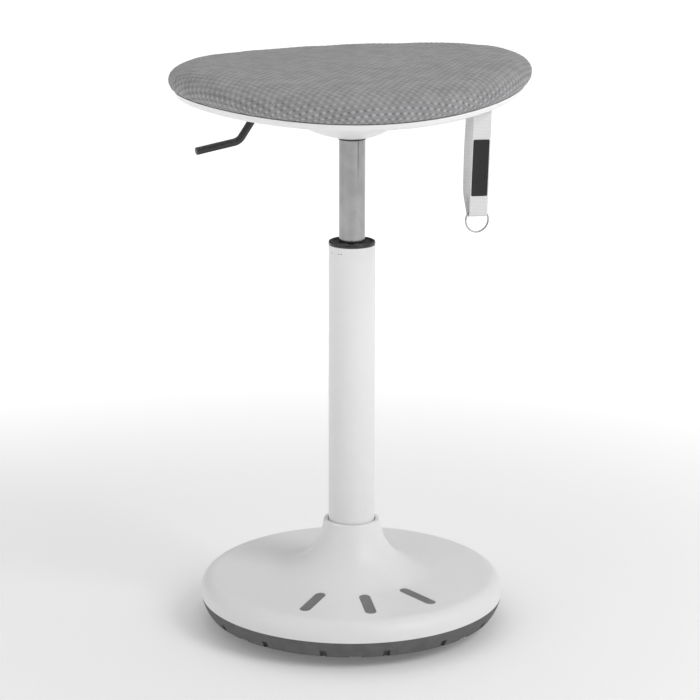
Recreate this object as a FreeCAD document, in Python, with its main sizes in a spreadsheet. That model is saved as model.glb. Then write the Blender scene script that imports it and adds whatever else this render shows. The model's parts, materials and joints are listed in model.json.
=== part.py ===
import FreeCAD, Part
import math
import os
import Sketcher
from FreeCAD import Placement, Rotation, Vector

# Wobble stool: a round base with a domed tread, a gas lift column and a padded saddle seat.
# Millimetres, +Z up, origin on the floor under the column's axis, seat in its resting height.

doc = FreeCAD.newDocument("WobbleStool")
sheet = doc.addObject("Spreadsheet::Sheet", "Sizes")

UP = Vector(0, 0, 1)
ORIGIN = Vector(0, 0, 0)
RING_POINTS = 24
LEVEL_STARTS = (0.0435, 0.109)
LEVEL_STEPS = (0.218, 0.381)
LEVEL_SPLIT = 0.544
LEVEL_EDGE = 0.708
HUB_STEPS = (0.22, 0.4, 0.57, 0.75)
DISH_STEPS = (0.21, 0.46, 0.71)


class Size:
    """A number together with the sheet formula that gives it."""

    def __init__(self, number, formula):
        self.number = number
        self.formula = formula

    def __add__(self, other):
        other = as_size(other)
        return Size(self.number + other.number, f"({self.formula} + {other.formula})")

    def __sub__(self, other):
        other = as_size(other)
        return Size(self.number - other.number, f"({self.formula} - {other.formula})")

    def __mul__(self, other):
        other = as_size(other)
        return Size(self.number * other.number, f"({self.formula} * {other.formula})")

    def __truediv__(self, other):
        other = as_size(other)
        return Size(self.number / other.number, f"({self.formula} / {other.formula})")

    def __neg__(self):
        return Size(-self.number, f"(0 - {self.formula})")


def as_size(value):
    if isinstance(value, Size):
        return value
    return Size(value, str(value))


def cosine(angle):
    angle = as_size(angle)
    return Size(math.cos(math.radians(angle.number)), f"cos({angle.formula} * 1 deg)")


def sine(angle):
    angle = as_size(angle)
    return Size(math.sin(math.radians(angle.number)), f"sin({angle.formula} * 1 deg)")


def size(alias, number, note):
    """Write one driving size into the next row of the sheet."""
    row = size.next_row
    size.next_row += 1
    sheet.set(f"A{row}", note)
    sheet.set(f"B{row}", str(number))
    sheet.setAlias(f"B{row}", alias)
    return Size(number, f"Sizes.{alias}")


size.next_row = 1

# Base
tread_radius = size("tread_radius", 165.3, "radius of the base where cover and tread meet")
tread_height = size("tread_height", 32, "height of that seam above the floor")
tread_draw = size("tread_draw", 8.3, "tread's lower edge inside its seam with the cover")
tread_low_radius = tread_radius - tread_draw
tread_side_height = size("tread_side_height", 18.5, "height of the tread's visible side")
tread_side_bulge = size("tread_side_bulge", 45, "radius of the side's outward curve")
dome_radius = size("dome_radius", 480, "radius of the rocking dome under the tread")
foot_pad_radius = size("foot_pad_radius", 45, "flat pad in the middle of the dome")
tread_wall = size("tread_wall", 4, "thickness of the tread's upright edge")
tread_floor = size("tread_floor", 17, "height of the tread's inner floor")
tread_floor_inset = size("tread_floor_inset", 14.3, "tread's inner floor inside that seam")
tread_floor_radius = tread_radius - tread_floor_inset
notch_count = size("notch_count", 15, "deep notches round the tread")
notch_turn = size("notch_turn", 13.4, "angle of the first notch from the front")
notch_width = size("notch_width", 7, "width of a deep notch")
notch_depth = size("notch_depth", 4, "depth of a deep notch into the side")
notch_height = size("notch_height", 7, "height of a deep notch")
notch_land = size("notch_land", 1, "rubber between a deep notch and the tread's lower edge")
notch_step = size("notch_step", 2, "foot of a deep notch deeper than the rest of it")
scallop_turn = size("scallop_turn", 1.4, "angle of the middle scallop from the front")
scallop_pitch = size("scallop_pitch", 48, "angle between wide scallops")
scallop_count = size("scallop_count", 7, "wide scallops along the tread's lower edge")
scallop_width = size("scallop_width", 13, "width of a wide scallop")
scallop_height = size("scallop_height", 3.5, "height of a wide scallop")
scallop_depth = size("scallop_depth", 6, "depth of a wide scallop")
ballast_radius = size("ballast_radius", 120, "radius of the ballast disc")
ballast_thick = size("ballast_thick", 10, "thickness of the ballast disc")
socket_hole_radius = size("socket_hole_radius", 20, "hole under the column in socket and ballast")
flange_radius = size("flange_radius", 70, "radius of the column socket's flange")
flange_thick = size("flange_thick", 4, "thickness of that flange")
sleeve_wall = size("sleeve_wall", 3.5, "wall of the sleeve round the column's foot")
sleeve_height = size("sleeve_height", 58, "height of that sleeve above the flange")
bolt_pitch_radius = size("bolt_pitch_radius", 52, "pitch radius of the socket bolts")
bolt_radius = size("bolt_radius", 4, "shank radius of the socket bolts")
bolt_head_radius = size("bolt_head_radius", 8, "head radius of the socket bolts")
bolt_head_height = size("bolt_head_height", 4.4, "head height of the socket bolts")
bolt_drive_width = size("bolt_drive_width", 5, "hex socket in the bolts' heads")
bolt_drive_depth = size("bolt_drive_depth", 2.5, "depth of that hex socket")
bolt_end = size("bolt_end", 1.5, "thread that stands out of the nuts")
bolt_turn = size("bolt_turn", 45, "direction of the first socket bolt")
bolt_count = size("bolt_count", 4, "bolts through socket and ballast")
bolt_nut_width = size("bolt_nut_width", 13, "width across the nuts' flats")
bolt_nut_height = size("bolt_nut_height", 6.5, "height of the nuts")
cover_wall = size("cover_wall", 2.5, "wall of the base cover")
cover_rim_height = size("cover_rim_height", 5, "upright part of the cover's rim")
cover_rim_radius = size("cover_rim_radius", 16.2, "round of the cover's rim")
cover_slope = size("cover_slope", 2, "rise of the cover from rim to bell")
bell_start_radius = size("bell_start_radius", 95, "radius where the bell starts to rise")
bell_curve = size("bell_curve", 64.6, "radius of the bell's hollow curve")
neck_radius = size("neck_radius", 31.5, "radius of the cover's neck where the bell ends")
neck_wall_gap = size("neck_wall_gap", 1, "gap between the neck's lip and the column")
neck_taper = size("neck_taper", 0.8, "lip narrower than the bell's end")
neck_lip_height = size("neck_lip_height", 7, "height of the lip above the bell")
neck_lip_round = size("neck_lip_round", 2, "round on the lip's top edge")
boss_inset = size("boss_inset", 25.3, "pitch line of the cover's screws inside that seam")
boss_pitch_radius = tread_radius - boss_inset
boss_radius = size("boss_radius", 5, "radius of the cover's screw bosses")
cover_screw_count = size("cover_screw_count", 6, "screws that hold the cover")
cover_screw_radius = size("cover_screw_radius", 2, "shank radius of those screws")
cover_screw_head = size("cover_screw_head", 4, "head radius of those screws")
cover_screw_length = size("cover_screw_length", 26, "length of those screws")
cover_screw_head_height = size("cover_screw_head_height", 2.5, "head height of those screws")
cover_screw_spare = size("cover_screw_spare", 2, "hole deeper than the screw")
screw_drive_width = size("screw_drive_width", 3, "hex socket in the small screws' heads")
screw_drive_depth = size("screw_drive_depth", 1.2, "depth of that hex socket")
screw_recess = size("screw_recess", 12.5, "height of the screws' seat in the tread")
inlay_count = size("inlay_count", 3, "grey inlays in the cover")
inlay_width = size("inlay_width", 12, "width of the grey inlays in the cover")
inlay_inner = size("inlay_inner", 84, "distance of the inlays' inner ends from the axis")
inlay_inset = size("inlay_inset", 29.3, "inlays' outer ends inside that seam")
inlay_outer = tread_radius - inlay_inset
inlay_first = size("inlay_first", -112, "direction of the first inlay")
inlay_pitch = size("inlay_pitch", 31, "angle between inlays")
inlay_sink = size("inlay_sink", 0.6, "depth of the inlays under the cover's face")
inlay_thick = size("inlay_thick", 3, "thickness of the inlays")
snug = size("snug", 0.15, "gap round a piece that is pushed into place")
edge_break = size("edge_break", 0.6, "chamfer on turned edges")
edge_round = size("edge_round", 1.5, "round on moulded edges")
running = size("running", 0.05, "radial gap of a running fit")

# Column
column_radius = size("column_radius", 25, "outer radius of the column tube")
column_wall = size("column_wall", 1.5, "wall of the column tube")
column_top = size("column_top", 421, "height of the column tube's top")
foot_plate_rise = size("foot_plate_rise", 3, "foot plate above the column's lower end")
foot_plate_thick = size("foot_plate_thick", 4, "thickness of the column's foot plate")
collar_height = size("collar_height", 4, "height of the black collar on the column")
collar_wall = size("collar_wall", 3.5, "wall of that collar")
bush_length = size("bush_length", 80, "length of the guide bush in the column")
bush_shoulder = size("bush_shoulder", 12, "bush's narrow neck inside the collar")
bush_rise = size("bush_rise", 2.6, "guide bush's face above the column's top")
washer_thick = size("washer_thick", 2, "thickness of the bearing washers")
washer_radius = size("washer_radius", 14, "radius of the bearing washers")
ball_radius = size("ball_radius", 2, "radius of the bearing balls")
ball_pitch_radius = size("ball_pitch_radius", 9, "pitch radius of the balls")
ball_count = size("ball_count", 9, "balls in the bearing")
cage_thick = size("cage_thick", 2, "thickness of the ball cage")
cage_margin = size("cage_margin", 3.4, "cage beyond the balls' pitch line, each side")
rod_radius = size("rod_radius", 5, "radius of the piston rod")
rod_neck_radius = size("rod_neck_radius", 4, "radius of the rod's lower neck")
clip_gap = size("clip_gap", 0.3, "gap between the clip and the foot plate")
clip_mouth = size("clip_mouth", 4.8, "width of the clip's mouth")
rod_end_drop = size("rod_end_drop", 4, "rod's end below the foot plate")
clip_thick = size("clip_thick", 1.4, "thickness of the retaining clip")
clip_radius = size("clip_radius", 8, "radius of the retaining clip")
clip_seat = size("clip_seat", 3, "radius of the groove that holds the clip")
bumper_radius = size("bumper_radius", 12, "radius of the end bumper")
bumper_height = size("bumper_height", 12, "height of the end bumper")

# Place of the seat, from which all that it carries takes its height
seat_radius = size("seat_radius", 183.7, "radius of the seam between cushion and shell")
seat_height = size("seat_height", 586.6, "height of that seam at the seat's middle")

# Gas spring
tube_radius = size("tube_radius", 14, "radius of the pressure tube")
tube_wall = size("tube_wall", 1.5, "wall of the pressure tube")
tube_length = size("tube_length", 380, "length of the pressure tube")
tube_drop = size("tube_drop", 23.1, "pressure tube's top below the seam")
tube_top = seat_height - tube_drop
taper_top_radius = size("taper_top_radius", 13.3, "radius at the top of the tube's taper")
tube_lip = size("tube_lip", 1.5, "rolled lip at the tube's lower end")
guide_height = size("guide_height", 16, "height of the rod guide")
seal_height = size("seal_height", 8, "height of the rod seal")
piston_height = size("piston_height", 14, "height of the piston")
lift_up = size("lift_up", 110, "travel of the seat up from its resting height")
piston_margin = size("piston_margin", 2.5, "piston above the rod seal at full height")
piston_gap = size("piston_gap", 0.1, "gap between the piston and its tube")
nut_width = size("nut_width", 10, "width across the piston nut's flats")
nut_height = size("nut_height", 3, "height of the piston nut")
seal_lip = size("seal_lip", 2, "depth of the rod seal's hollow")
ring_height = size("ring_height", 3, "height of the piston's seal ring")
ring_depth = size("ring_depth", 2, "depth of the seal ring's groove")
valve_length = size("valve_length", 45, "length of the valve body")
pin_radius = size("pin_radius", 4, "radius of the release pin")
pin_stem_radius = size("pin_stem_radius", 2.5, "radius of the release pin's stem")
pin_head_length = size("pin_head_length", 11.5, "length of the pin's thick end")
pin_length = size("pin_length", 48, "length of the release pin")
pin_travel = size("pin_travel", 4, "room for the pin's travel in the valve")
pin_dome = size("pin_dome", 10, "radius of the pin's domed end")
pin_gap = size("pin_gap", 0.1, "gap between the pin and the lever")

# Seat carrier
socket_radius = size("socket_radius", 15.2, "outer radius of the taper socket")
socket_low_drop = size("socket_low_drop", 52.6, "taper socket's lower end below the seam")
socket_bottom = seat_height - socket_low_drop
socket_top_drop = size("socket_top_drop", 24.6, "taper socket's upper end below the seam")
socket_top = seat_height - socket_top_drop
hub_drop = size("hub_drop", 50.6, "lowest point of the shell's hub below the seam")
hub_bottom = seat_height - hub_drop
pan_thick = size("pan_thick", 3, "thickness of the mounting pan")
pan_drop = size("pan_drop", 28.6, "pan's underside below the seam")
pan_floor = seat_height - pan_drop
pan_floor_radius = size("pan_floor_radius", 52, "radius of the pan's floor")
pan_wall_radius = size("pan_wall_radius", 66, "radius at the top of the pan's wall")
pan_draw = size("pan_draw", 2, "inner side of the pan's wall inside its outer side")
pan_radius = size("pan_radius", 84, "outer radius of the pan")
board_pad_drop = size("board_pad_drop", 7.1, "board's flat mounting pad below the seam")
board_pad_height = seat_height - board_pad_drop
board_pad_radius = size("board_pad_radius", 85, "radius of that pad")
plate_screw_count = size("plate_screw_count", 4, "screws between pan and board")
plate_screw_turn = size("plate_screw_turn", 45, "first seat screw's direction from the lever")
plate_screw_pitch = size("plate_screw_pitch", 77, "pitch radius of the seat screws")
plate_screw_radius = size("plate_screw_radius", 3, "shank radius of the seat screws")
plate_screw_head = size("plate_screw_head", 5.5, "head radius of the seat screws")
plate_screw_head_height = size("plate_screw_head_height", 4, "head height of those screws")
plate_drive_width = size("plate_drive_width", 5, "hex socket in the seat screws' heads")
plate_drive_depth = size("plate_drive_depth", 2.5, "depth of that hex socket")
tee_rise = size("tee_rise", 1, "tee nuts' lower ends above the pan")
tee_barrel = size("tee_barrel", 1.5, "wall of the tee nuts' barrels")
tee_flange_radius = size("tee_flange_radius", 10, "radius of the tee nuts' flanges")
tee_flange_thick = size("tee_flange_thick", 1.5, "thickness of those flanges")
tee_length = size("tee_length", 9, "length of the tee nuts")
lever_angle = size("lever_angle", 192.2, "direction of the lever in the seat")
lever_radius = size("lever_radius", 4, "radius of the lever's rod")
lever_pivot = size("lever_pivot", 38, "distance of the lever's pivot from the axis")
lever_drop = size("lever_drop", 14.6, "lever inside the seat below the seam")
lever_height = seat_height - lever_drop
lever_inner = size("lever_inner", 5, "lever's inner end beyond the axis")
lever_knee = size("lever_knee", 105.8, "distance where the lever turns down")
lever_elbow = size("lever_elbow", 127.8, "distance where the handle starts")
lever_elbow_drop = size("lever_elbow_drop", 45.8, "lever's elbow below the seam")
lever_elbow_height = seat_height - lever_elbow_drop
lever_tip = size("lever_tip", 175.2, "distance of the handle's tip")
lever_tip_drop = size("lever_tip_drop", 53.2, "handle's tip below the seam")
lever_tip_height = seat_height - lever_tip_drop
lever_bend = size("lever_bend", 13, "radius of the lever's bends")
lever_pin_radius = size("lever_pin_radius", 2, "radius of the lever's pivot pin")
pin_stand = size("pin_stand", 1, "lever's pivot pin beyond the ears")
ear_rim = size("ear_rim", 3, "ear above the pivot pin's bore")
ear_gap = size("ear_gap", 0.5, "gap between the lever and the bracket's ears")
ear_thick = size("ear_thick", 2.5, "thickness of the bracket's ears")
ear_length = size("ear_length", 14, "length of the bracket's ears")
ear_base = size("ear_base", 2, "thickness of the bracket's base")
lever_slot_width = size("lever_slot_width", 14, "width of the lever's slots")
lever_slot_room = size("lever_slot_room", 5, "room under the lever in the pan's slot")
lever_slot_inner = size("lever_slot_inner", 97, "inner end of the lever's slot in the shell")
lever_slot_outer = size("lever_slot_outer", 125, "outer end of the lever's slot in the shell")

# Seat
seat_turn = size("seat_turn", 11.8, "direction of the seat's long axis at rest")
seat_shift = size("seat_shift", -2.5, "seat's centre from the column along its long axis")
side_rise = size("side_rise", 5.75, "rise of the two ends and fall of the two sides")
back_rise = size("back_rise", 4.45, "rise of the far end over the lever's end")
edge_wave = size("edge_wave", 0.95, "third wave round the edge")
cushion_height = size("cushion_height", 29.4, "height of the cushion above the seam")
cushion_bulge = size("cushion_bulge", 8.6, "bulge of the cushion beyond the seam")
cover_thick = size("cover_thick", 2.5, "thickness of the seat cover's mesh fabric")
seam_gap = size("seam_gap", 0.3, "gap between cover and shell")
board_inset = size("board_inset", 7.7, "seat board's edge inside the seat's seam")
board_radius = seat_radius - board_inset
board_above = size("board_above", 7, "seat board above the seam")
board_below = size("board_below", 2, "seat board below the seam")
shell_wall = size("shell_wall", 3, "wall of the seat shell")
hub_sphere = size("hub_sphere", 92, "radius of the hub's round face")
hub_radius = size("hub_radius", 55, "radius where the hub meets the dish")
dish_slope = size("dish_slope", 0.222, "slope of the shell's dish")
rim_drop = size("rim_drop", 6.2, "height of the shell's white rim")
rim_tuck = size("rim_tuck", 3.8, "rim's lower edge inside the seam")
rim_foot = size("rim_foot", 5, "dish's edge inside the rim's lower edge")
shell_screw_inset = size("shell_screw_inset", 37.7,
                         "pitch line of the shell's screws inside the seat's seam")
shell_screw_pitch = seat_radius - shell_screw_inset
shell_screw_count = size("shell_screw_count", 4, "screws that hold the shell")
shell_screw_turn = size("shell_screw_turn", 60, "direction of the first shell screw")
shell_screw_radius = size("shell_screw_radius", 2, "shank radius of those screws")
shell_screw_head = size("shell_screw_head", 4, "head radius of those screws")
shell_screw_head_height = size("shell_screw_head_height", 2.2, "head height of those screws")
shell_screw_length = size("shell_screw_length", 13, "length of those screws")
shell_boss_radius = size("shell_boss_radius", 7, "radius of the shell's screw bosses")

# Strap and ring
strap_inset = size("strap_inset", 25.7, "strap's distance inside the seat's seam")
strap_distance = seat_radius - strap_inset
strap_angle = size("strap_angle", -47.4, "direction of the strap in the seat")
strap_face = size("strap_face", 6.2, "turn of the strap's face in the seat")
strap_lean = size("strap_lean", 1.8, "sideways lean of the hanging strap")
strap_width = size("strap_width", 20, "width of the webbing")
strap_thick = size("strap_thick", 1.2, "thickness of the webbing")
strap_gap = size("strap_gap", 20, "distance between the strap's two layers")
strap_drop = size("strap_drop", 110, "length of the hanging loop")
strap_fold_radius = size("strap_fold_radius", 3, "radius of the loop's lower fold")
strap_fold_width = size("strap_fold_width", 7, "width of the loop's nearly level fold")
strap_fold_rise = size("strap_fold_rise", 1.5, "rise of that fold from front to back")
strap_close = size("strap_close", 22, "height over which the loop closes")
strap_entry = size("strap_entry", 0.5, "strap's ends above their pivot")
slot_play = size("slot_play", 0.8, "play between the webbing and the shell's slots")
slot_swing = size("slot_swing", 2.3, "room for the webbing's swing in the slots")
slot_side = size("slot_side", 2.5, "slots longer than the webbing is wide")
slot_low = size("slot_low", 8, "slots' cut below the strap's pivot")
slot_high = size("slot_high", 12, "slots' cut above the strap's pivot")
relief_rise = size("relief_rise", 4, "hollow in the board over the strap")
label_height = size("label_height", 58, "height of the dark label")
label_width = size("label_width", 17.4, "width of the dark label")
label_thick = size("label_thick", 0.5, "thickness of the dark label")
label_drop = size("label_drop", 29, "label's upper edge below the strap's pivot")
ring_radius = size("ring_radius", 12.2, "radius of the key ring's centre line")
ring_wire = size("ring_wire", 0.9, "radius of the key ring's wire")
ring_play = size("ring_play", 0.3, "gap between the ring and the fold")
ring_offset = size("ring_offset", 2.6, "ring's plane behind the strap's front layer")

doc.recompute()


def bind(thing, property_name, value):
    thing.setExpression(property_name, as_size(value).formula)


def place(thing, x, y, z, angle=0, axis=UP):
    """Put an object at x, y, z and turn it about an axis through that point."""
    x, y, z, angle = as_size(x), as_size(y), as_size(z), as_size(angle)
    thing.Placement = Placement(Vector(x.number, y.number, z.number), Rotation(axis, angle.number))
    bind(thing, "Placement.Base.x", x)
    bind(thing, "Placement.Base.y", y)
    bind(thing, "Placement.Base.z", z)
    bind(thing, "Placement.Rotation.Angle", angle)
    return thing


def cylinder(name, radius, bottom, top, x=0, y=0):
    bottom, top = as_size(bottom), as_size(top)
    thing = doc.addObject("Part::Cylinder", name)
    bind(thing, "Radius", radius)
    bind(thing, "Height", top - bottom)
    return place(thing, x, y, bottom)


def cone(name, low_radius, high_radius, bottom, top, x=0, y=0):
    bottom, top = as_size(bottom), as_size(top)
    thing = doc.addObject("Part::Cone", name)
    bind(thing, "Radius1", low_radius)
    bind(thing, "Radius2", high_radius)
    bind(thing, "Height", top - bottom)
    return place(thing, x, y, bottom)


def block(name, near, far, left, right, bottom, top, angle=0):
    """A box from near to far along a direction at the given angle about the axis."""
    near, far, left, right = as_size(near), as_size(far), as_size(left), as_size(right)
    bottom, top, angle = as_size(bottom), as_size(top), as_size(angle)
    thing = doc.addObject("Part::Box", name)
    bind(thing, "Length", far - near)
    bind(thing, "Width", right - left)
    bind(thing, "Height", top - bottom)
    x = near * cosine(angle) - left * sine(angle)
    y = near * sine(angle) + left * cosine(angle)
    return place(thing, x, y, bottom, angle)


def hexagon(name, width, bottom, top, x=0, y=0):
    bottom, top = as_size(bottom), as_size(top)
    thing = doc.addObject("Part::Prism", name)
    thing.Polygon = 6
    bind(thing, "Circumradius", as_size(width) / math.sqrt(3))
    bind(thing, "Height", top - bottom)
    return place(thing, x, y, bottom)


def join(name, things):
    thing = doc.addObject("Part::MultiFuse", name)
    thing.Shapes = things
    return thing


def group(name, things):
    thing = doc.addObject("Part::Compound", name)
    thing.Links = things
    return thing


def cut(name, base, tool):
    thing = doc.addObject("Part::Cut", name)
    thing.Base = base
    thing.Tool = tool
    return thing


def common(name, base, tool):
    thing = doc.addObject("Part::Common", name)
    thing.Base = base
    thing.Tool = tool
    return thing


def at_angle(distance, angle):
    return as_size(distance) * cosine(angle), as_size(distance) * sine(angle)


def spread(count, first, step):
    """Directions of equally spaced copies."""
    return [as_size(first) + as_size(step) * index for index in range(int(count.number))]


def full_circle(count, first=0):
    return spread(count, first, as_size(360) / count)


# Turned pieces

def arc_centre(start, end, radius):
    """Centre of the arc from start to end that turns left with a positive radius."""
    middle = (start + end) * 0.5
    chord = end - start
    reach = math.sqrt(max(radius * radius - chord.Length ** 2 / 4, 0))
    left = Vector(-chord.y, chord.x, 0).normalize()
    return middle + left * (reach if radius > 0 else -reach)


def profile(body, name, corners):
    """A closed outline of (distance, height) corners; a third number is the next arc's radius."""
    sketch = body.newObject("Sketcher::SketchObject", name)
    plane = [part for part in body.Origin.OriginFeatures if part.Role == "XZ_Plane"][0]
    sketch.AttachmentSupport = [(plane, "")]
    sketch.MapMode = "FlatFace"
    points = [Vector(as_size(c[0]).number, as_size(c[1]).number, 0) for c in corners]
    count = len(corners)
    for index, corner in enumerate(corners):
        start, end = points[index], points[(index + 1) % count]
        if len(corner) == 2:
            sketch.addGeometry(Part.LineSegment(start, end), False)
            continue
        radius = as_size(corner[2])
        centre = arc_centre(start, end, radius.number)
        first, last = start - centre, end - centre
        angles = [math.atan2(first.y, first.x), math.atan2(last.y, last.x)]
        if radius.number < 0:
            angles.reverse()
        circle = Part.Circle(centre, UP, abs(radius.number))
        sketch.addGeometry(Part.ArcOfCircle(circle, angles[0], angles[1]), False)
    for index, corner in enumerate(corners):
        after = (index + 1) % count
        turned_left = len(corner) == 3 and as_size(corner[2]).number < 0
        next_left = len(corners[after]) == 3 and as_size(corners[after][2]).number < 0
        end_point = 1 if turned_left else 2
        start_point = 2 if next_left else 1
        sketch.addConstraint(Sketcher.Constraint("Coincident", index, end_point, after, start_point))
    for index, corner in enumerate(corners):
        start_point = 2 if len(corner) == 3 and as_size(corner[2]).number < 0 else 1
        across = sketch.addConstraint(
            Sketcher.Constraint("DistanceX", -1, 1, index, start_point, points[index].x))
        upward = sketch.addConstraint(
            Sketcher.Constraint("DistanceY", -1, 1, index, start_point, points[index].y))
        sketch.setExpression(f"Constraints[{across}]", as_size(corner[0]).formula)
        sketch.setExpression(f"Constraints[{upward}]", as_size(corner[1]).formula)
        if len(corner) == 3:
            radius = as_size(corner[2])
            bend = sketch.addConstraint(Sketcher.Constraint("Radius", index, abs(radius.number)))
            positive = radius if radius.number > 0 else -radius
            sketch.setExpression(f"Constraints[{bend}]", positive.formula)
    return sketch


def turned(name, corners):
    """A body turned about the column's axis."""
    body = doc.addObject("PartDesign::Body", name)
    sketch = profile(body, f"{name}_profile", corners)
    turn = body.newObject("PartDesign::Revolution", f"{name}_turn")
    turn.Profile = sketch
    turn.ReferenceAxis = (sketch, ["V_Axis"])
    turn.Angle = 360
    sketch.Visibility = False
    return body


def washer(name, inner, outer, bottom, top):
    return turned(name, [(inner, bottom), (outer, bottom), (outer, top), (inner, top)])


nodes = {}


def node(name, thing):
    """Name a finished sub-part: its label is its file's name."""
    thing.Label = name
    nodes[name] = thing
    return thing


# Tread

def make_tread():
    dome_rise = tread_height - tread_side_height
    outline = [
        (0, 0), (foot_pad_radius, 0, dome_radius), (tread_low_radius, dome_rise, tread_side_bulge),
        (tread_radius, tread_height), (tread_radius - tread_wall, tread_height),
        (tread_floor_radius, tread_floor), (0, tread_floor)]
    body = turned("tread_body", outline)
    tools = []
    for index, angle in enumerate(full_circle(notch_count, notch_turn - 90)):
        far = tread_radius + notch_depth
        near = tread_low_radius - notch_depth
        half = notch_width / 2
        low = dome_rise + notch_land
        tools.append(block(f"notch_{index}", near + notch_step, far, -half, half, low,
                           low + notch_height, angle))
        tools.append(block(f"notch_foot_{index}", near, far, -half / 2, half / 2, 0, low + notch_land,
                           angle))
    first = scallop_turn - 90 - scallop_pitch * ((scallop_count.number - 1) / 2)
    for index, angle in enumerate(spread(scallop_count, first, scallop_pitch)):
        half = scallop_width / 2
        tools.append(block(f"scallop_{index}", tread_low_radius - scallop_depth, tread_radius, -half, half,
                           0, dome_rise + scallop_height / 2, angle))
    for index, angle in enumerate(full_circle(cover_screw_count)):
        x, y = at_angle(boss_pitch_radius, angle)
        tools.append(cylinder(f"tread_recess_{index}", cover_screw_head + 0.5, 0, screw_recess, x, y))
        tools.append(cylinder(f"tread_hole_{index}", cover_screw_radius + 0.25, 0, tread_height, x, y))
    return node("base_tread", cut("tread_cut", body, join("tread_tools", tools)))


# Ballast and column socket

def socket_levels():
    ballast_top = tread_floor + ballast_thick
    return ballast_top, ballast_top + flange_thick


def bolt_places():
    return [at_angle(bolt_pitch_radius, angle) for angle in full_circle(bolt_count, bolt_turn)]


def make_ballast():
    ballast_top, flange_top = socket_levels()
    plate = washer("ballast_body", socket_hole_radius, ballast_radius, tread_floor, ballast_top)
    tools = []
    for index, (x, y) in enumerate(bolt_places()):
        tools.append(cone(f"ballast_sink_{index}", bolt_head_radius + snug, bolt_radius + snug,
                          tread_floor, tread_floor + bolt_head_height, x, y))
        tools.append(cylinder(f"ballast_hole_{index}", bolt_radius + snug, tread_floor, ballast_top, x, y))
    node("ballast_plate", cut("ballast_cut", plate, join("ballast_tools", tools)))


def make_bolt(index, x, y):
    """One countersunk bolt with its nut, through ballast and flange."""
    ballast_top, flange_top = socket_levels()
    head_top = tread_floor + bolt_head_height
    nut_top = flange_top + bolt_nut_height
    head = cone(f"bolt_head_{index}", bolt_head_radius, bolt_radius, tread_floor, head_top, x, y)
    shank = cylinder(f"bolt_shank_{index}", bolt_radius, head_top, nut_top + bolt_end, x, y)
    drive = hexagon(f"bolt_drive_{index}", bolt_drive_width, tread_floor, tread_floor + bolt_drive_depth,
                    x, y)
    node(f"socket_bolt_{index}", cut(f"bolt_{index}", join(f"bolt_form_{index}", [head, shank]), drive))
    outer = hexagon(f"nut_outer_{index}", bolt_nut_width, flange_top, nut_top, x, y)
    hole = cylinder(f"nut_hole_{index}", bolt_radius + running, flange_top, nut_top, x, y)
    node(f"socket_nut_{index}", cut(f"nut_{index}", outer, hole))


def make_socket():
    ballast_top, flange_top = socket_levels()
    sleeve_outer = column_radius + running + sleeve_wall
    outline = [
        (socket_hole_radius, ballast_top), (flange_radius, ballast_top), (flange_radius, flange_top),
        (sleeve_outer, flange_top), (sleeve_outer, flange_top + sleeve_height),
        (column_radius + running, flange_top + sleeve_height), (column_radius + running, flange_top),
        (socket_hole_radius, flange_top)]
    body = turned("socket_body", outline)
    tools = []
    for index, (x, y) in enumerate(bolt_places()):
        tools.append(cylinder(f"socket_hole_{index}", bolt_radius + snug, ballast_top, flange_top, x, y))
        make_bolt(index + 1, x, y)
    node("column_socket", cut("socket_cut", body, join("socket_tools", tools)))


# Base cover

def cover_levels():
    """Radius of the cover's top edge, height of its rim's top and height of the bell's foot."""
    rim_top = tread_height + cover_rim_height + cover_rim_radius
    return tread_radius - cover_rim_radius, rim_top, rim_top + cover_slope


def bell_height(distance, start, curve):
    """Height of a hollow curve of the given radius over a distance from the axis."""
    reach = bell_start_radius - distance
    return Size(
        start.number + curve.number - math.sqrt(curve.number ** 2 - reach.number ** 2),
        f"({start.formula} + {curve.formula} - sqrt({curve.formula} ^ 2 - {reach.formula} ^ 2))")


def boss_places():
    return [at_angle(boss_pitch_radius, angle) for angle in full_circle(cover_screw_count)]


def inlay_prism(name, grow, angle):
    half = inlay_width / 2 + grow
    bottom = tread_height
    top = tread_height + cover_rim_height + cover_rim_radius + cover_slope * 3
    near_x, near_y = at_angle(inlay_inner + inlay_width / 2, angle)
    far_x, far_y = at_angle(inlay_outer - inlay_width / 2, angle)
    return join(name, [
        cylinder(f"{name}_near", half, bottom, top, near_x, near_y),
        cylinder(f"{name}_far", half, bottom, top, far_x, far_y),
        block(f"{name}_bar", inlay_inner + inlay_width / 2, inlay_outer - inlay_width / 2,
              -half, half, bottom, top, angle)])


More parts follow.
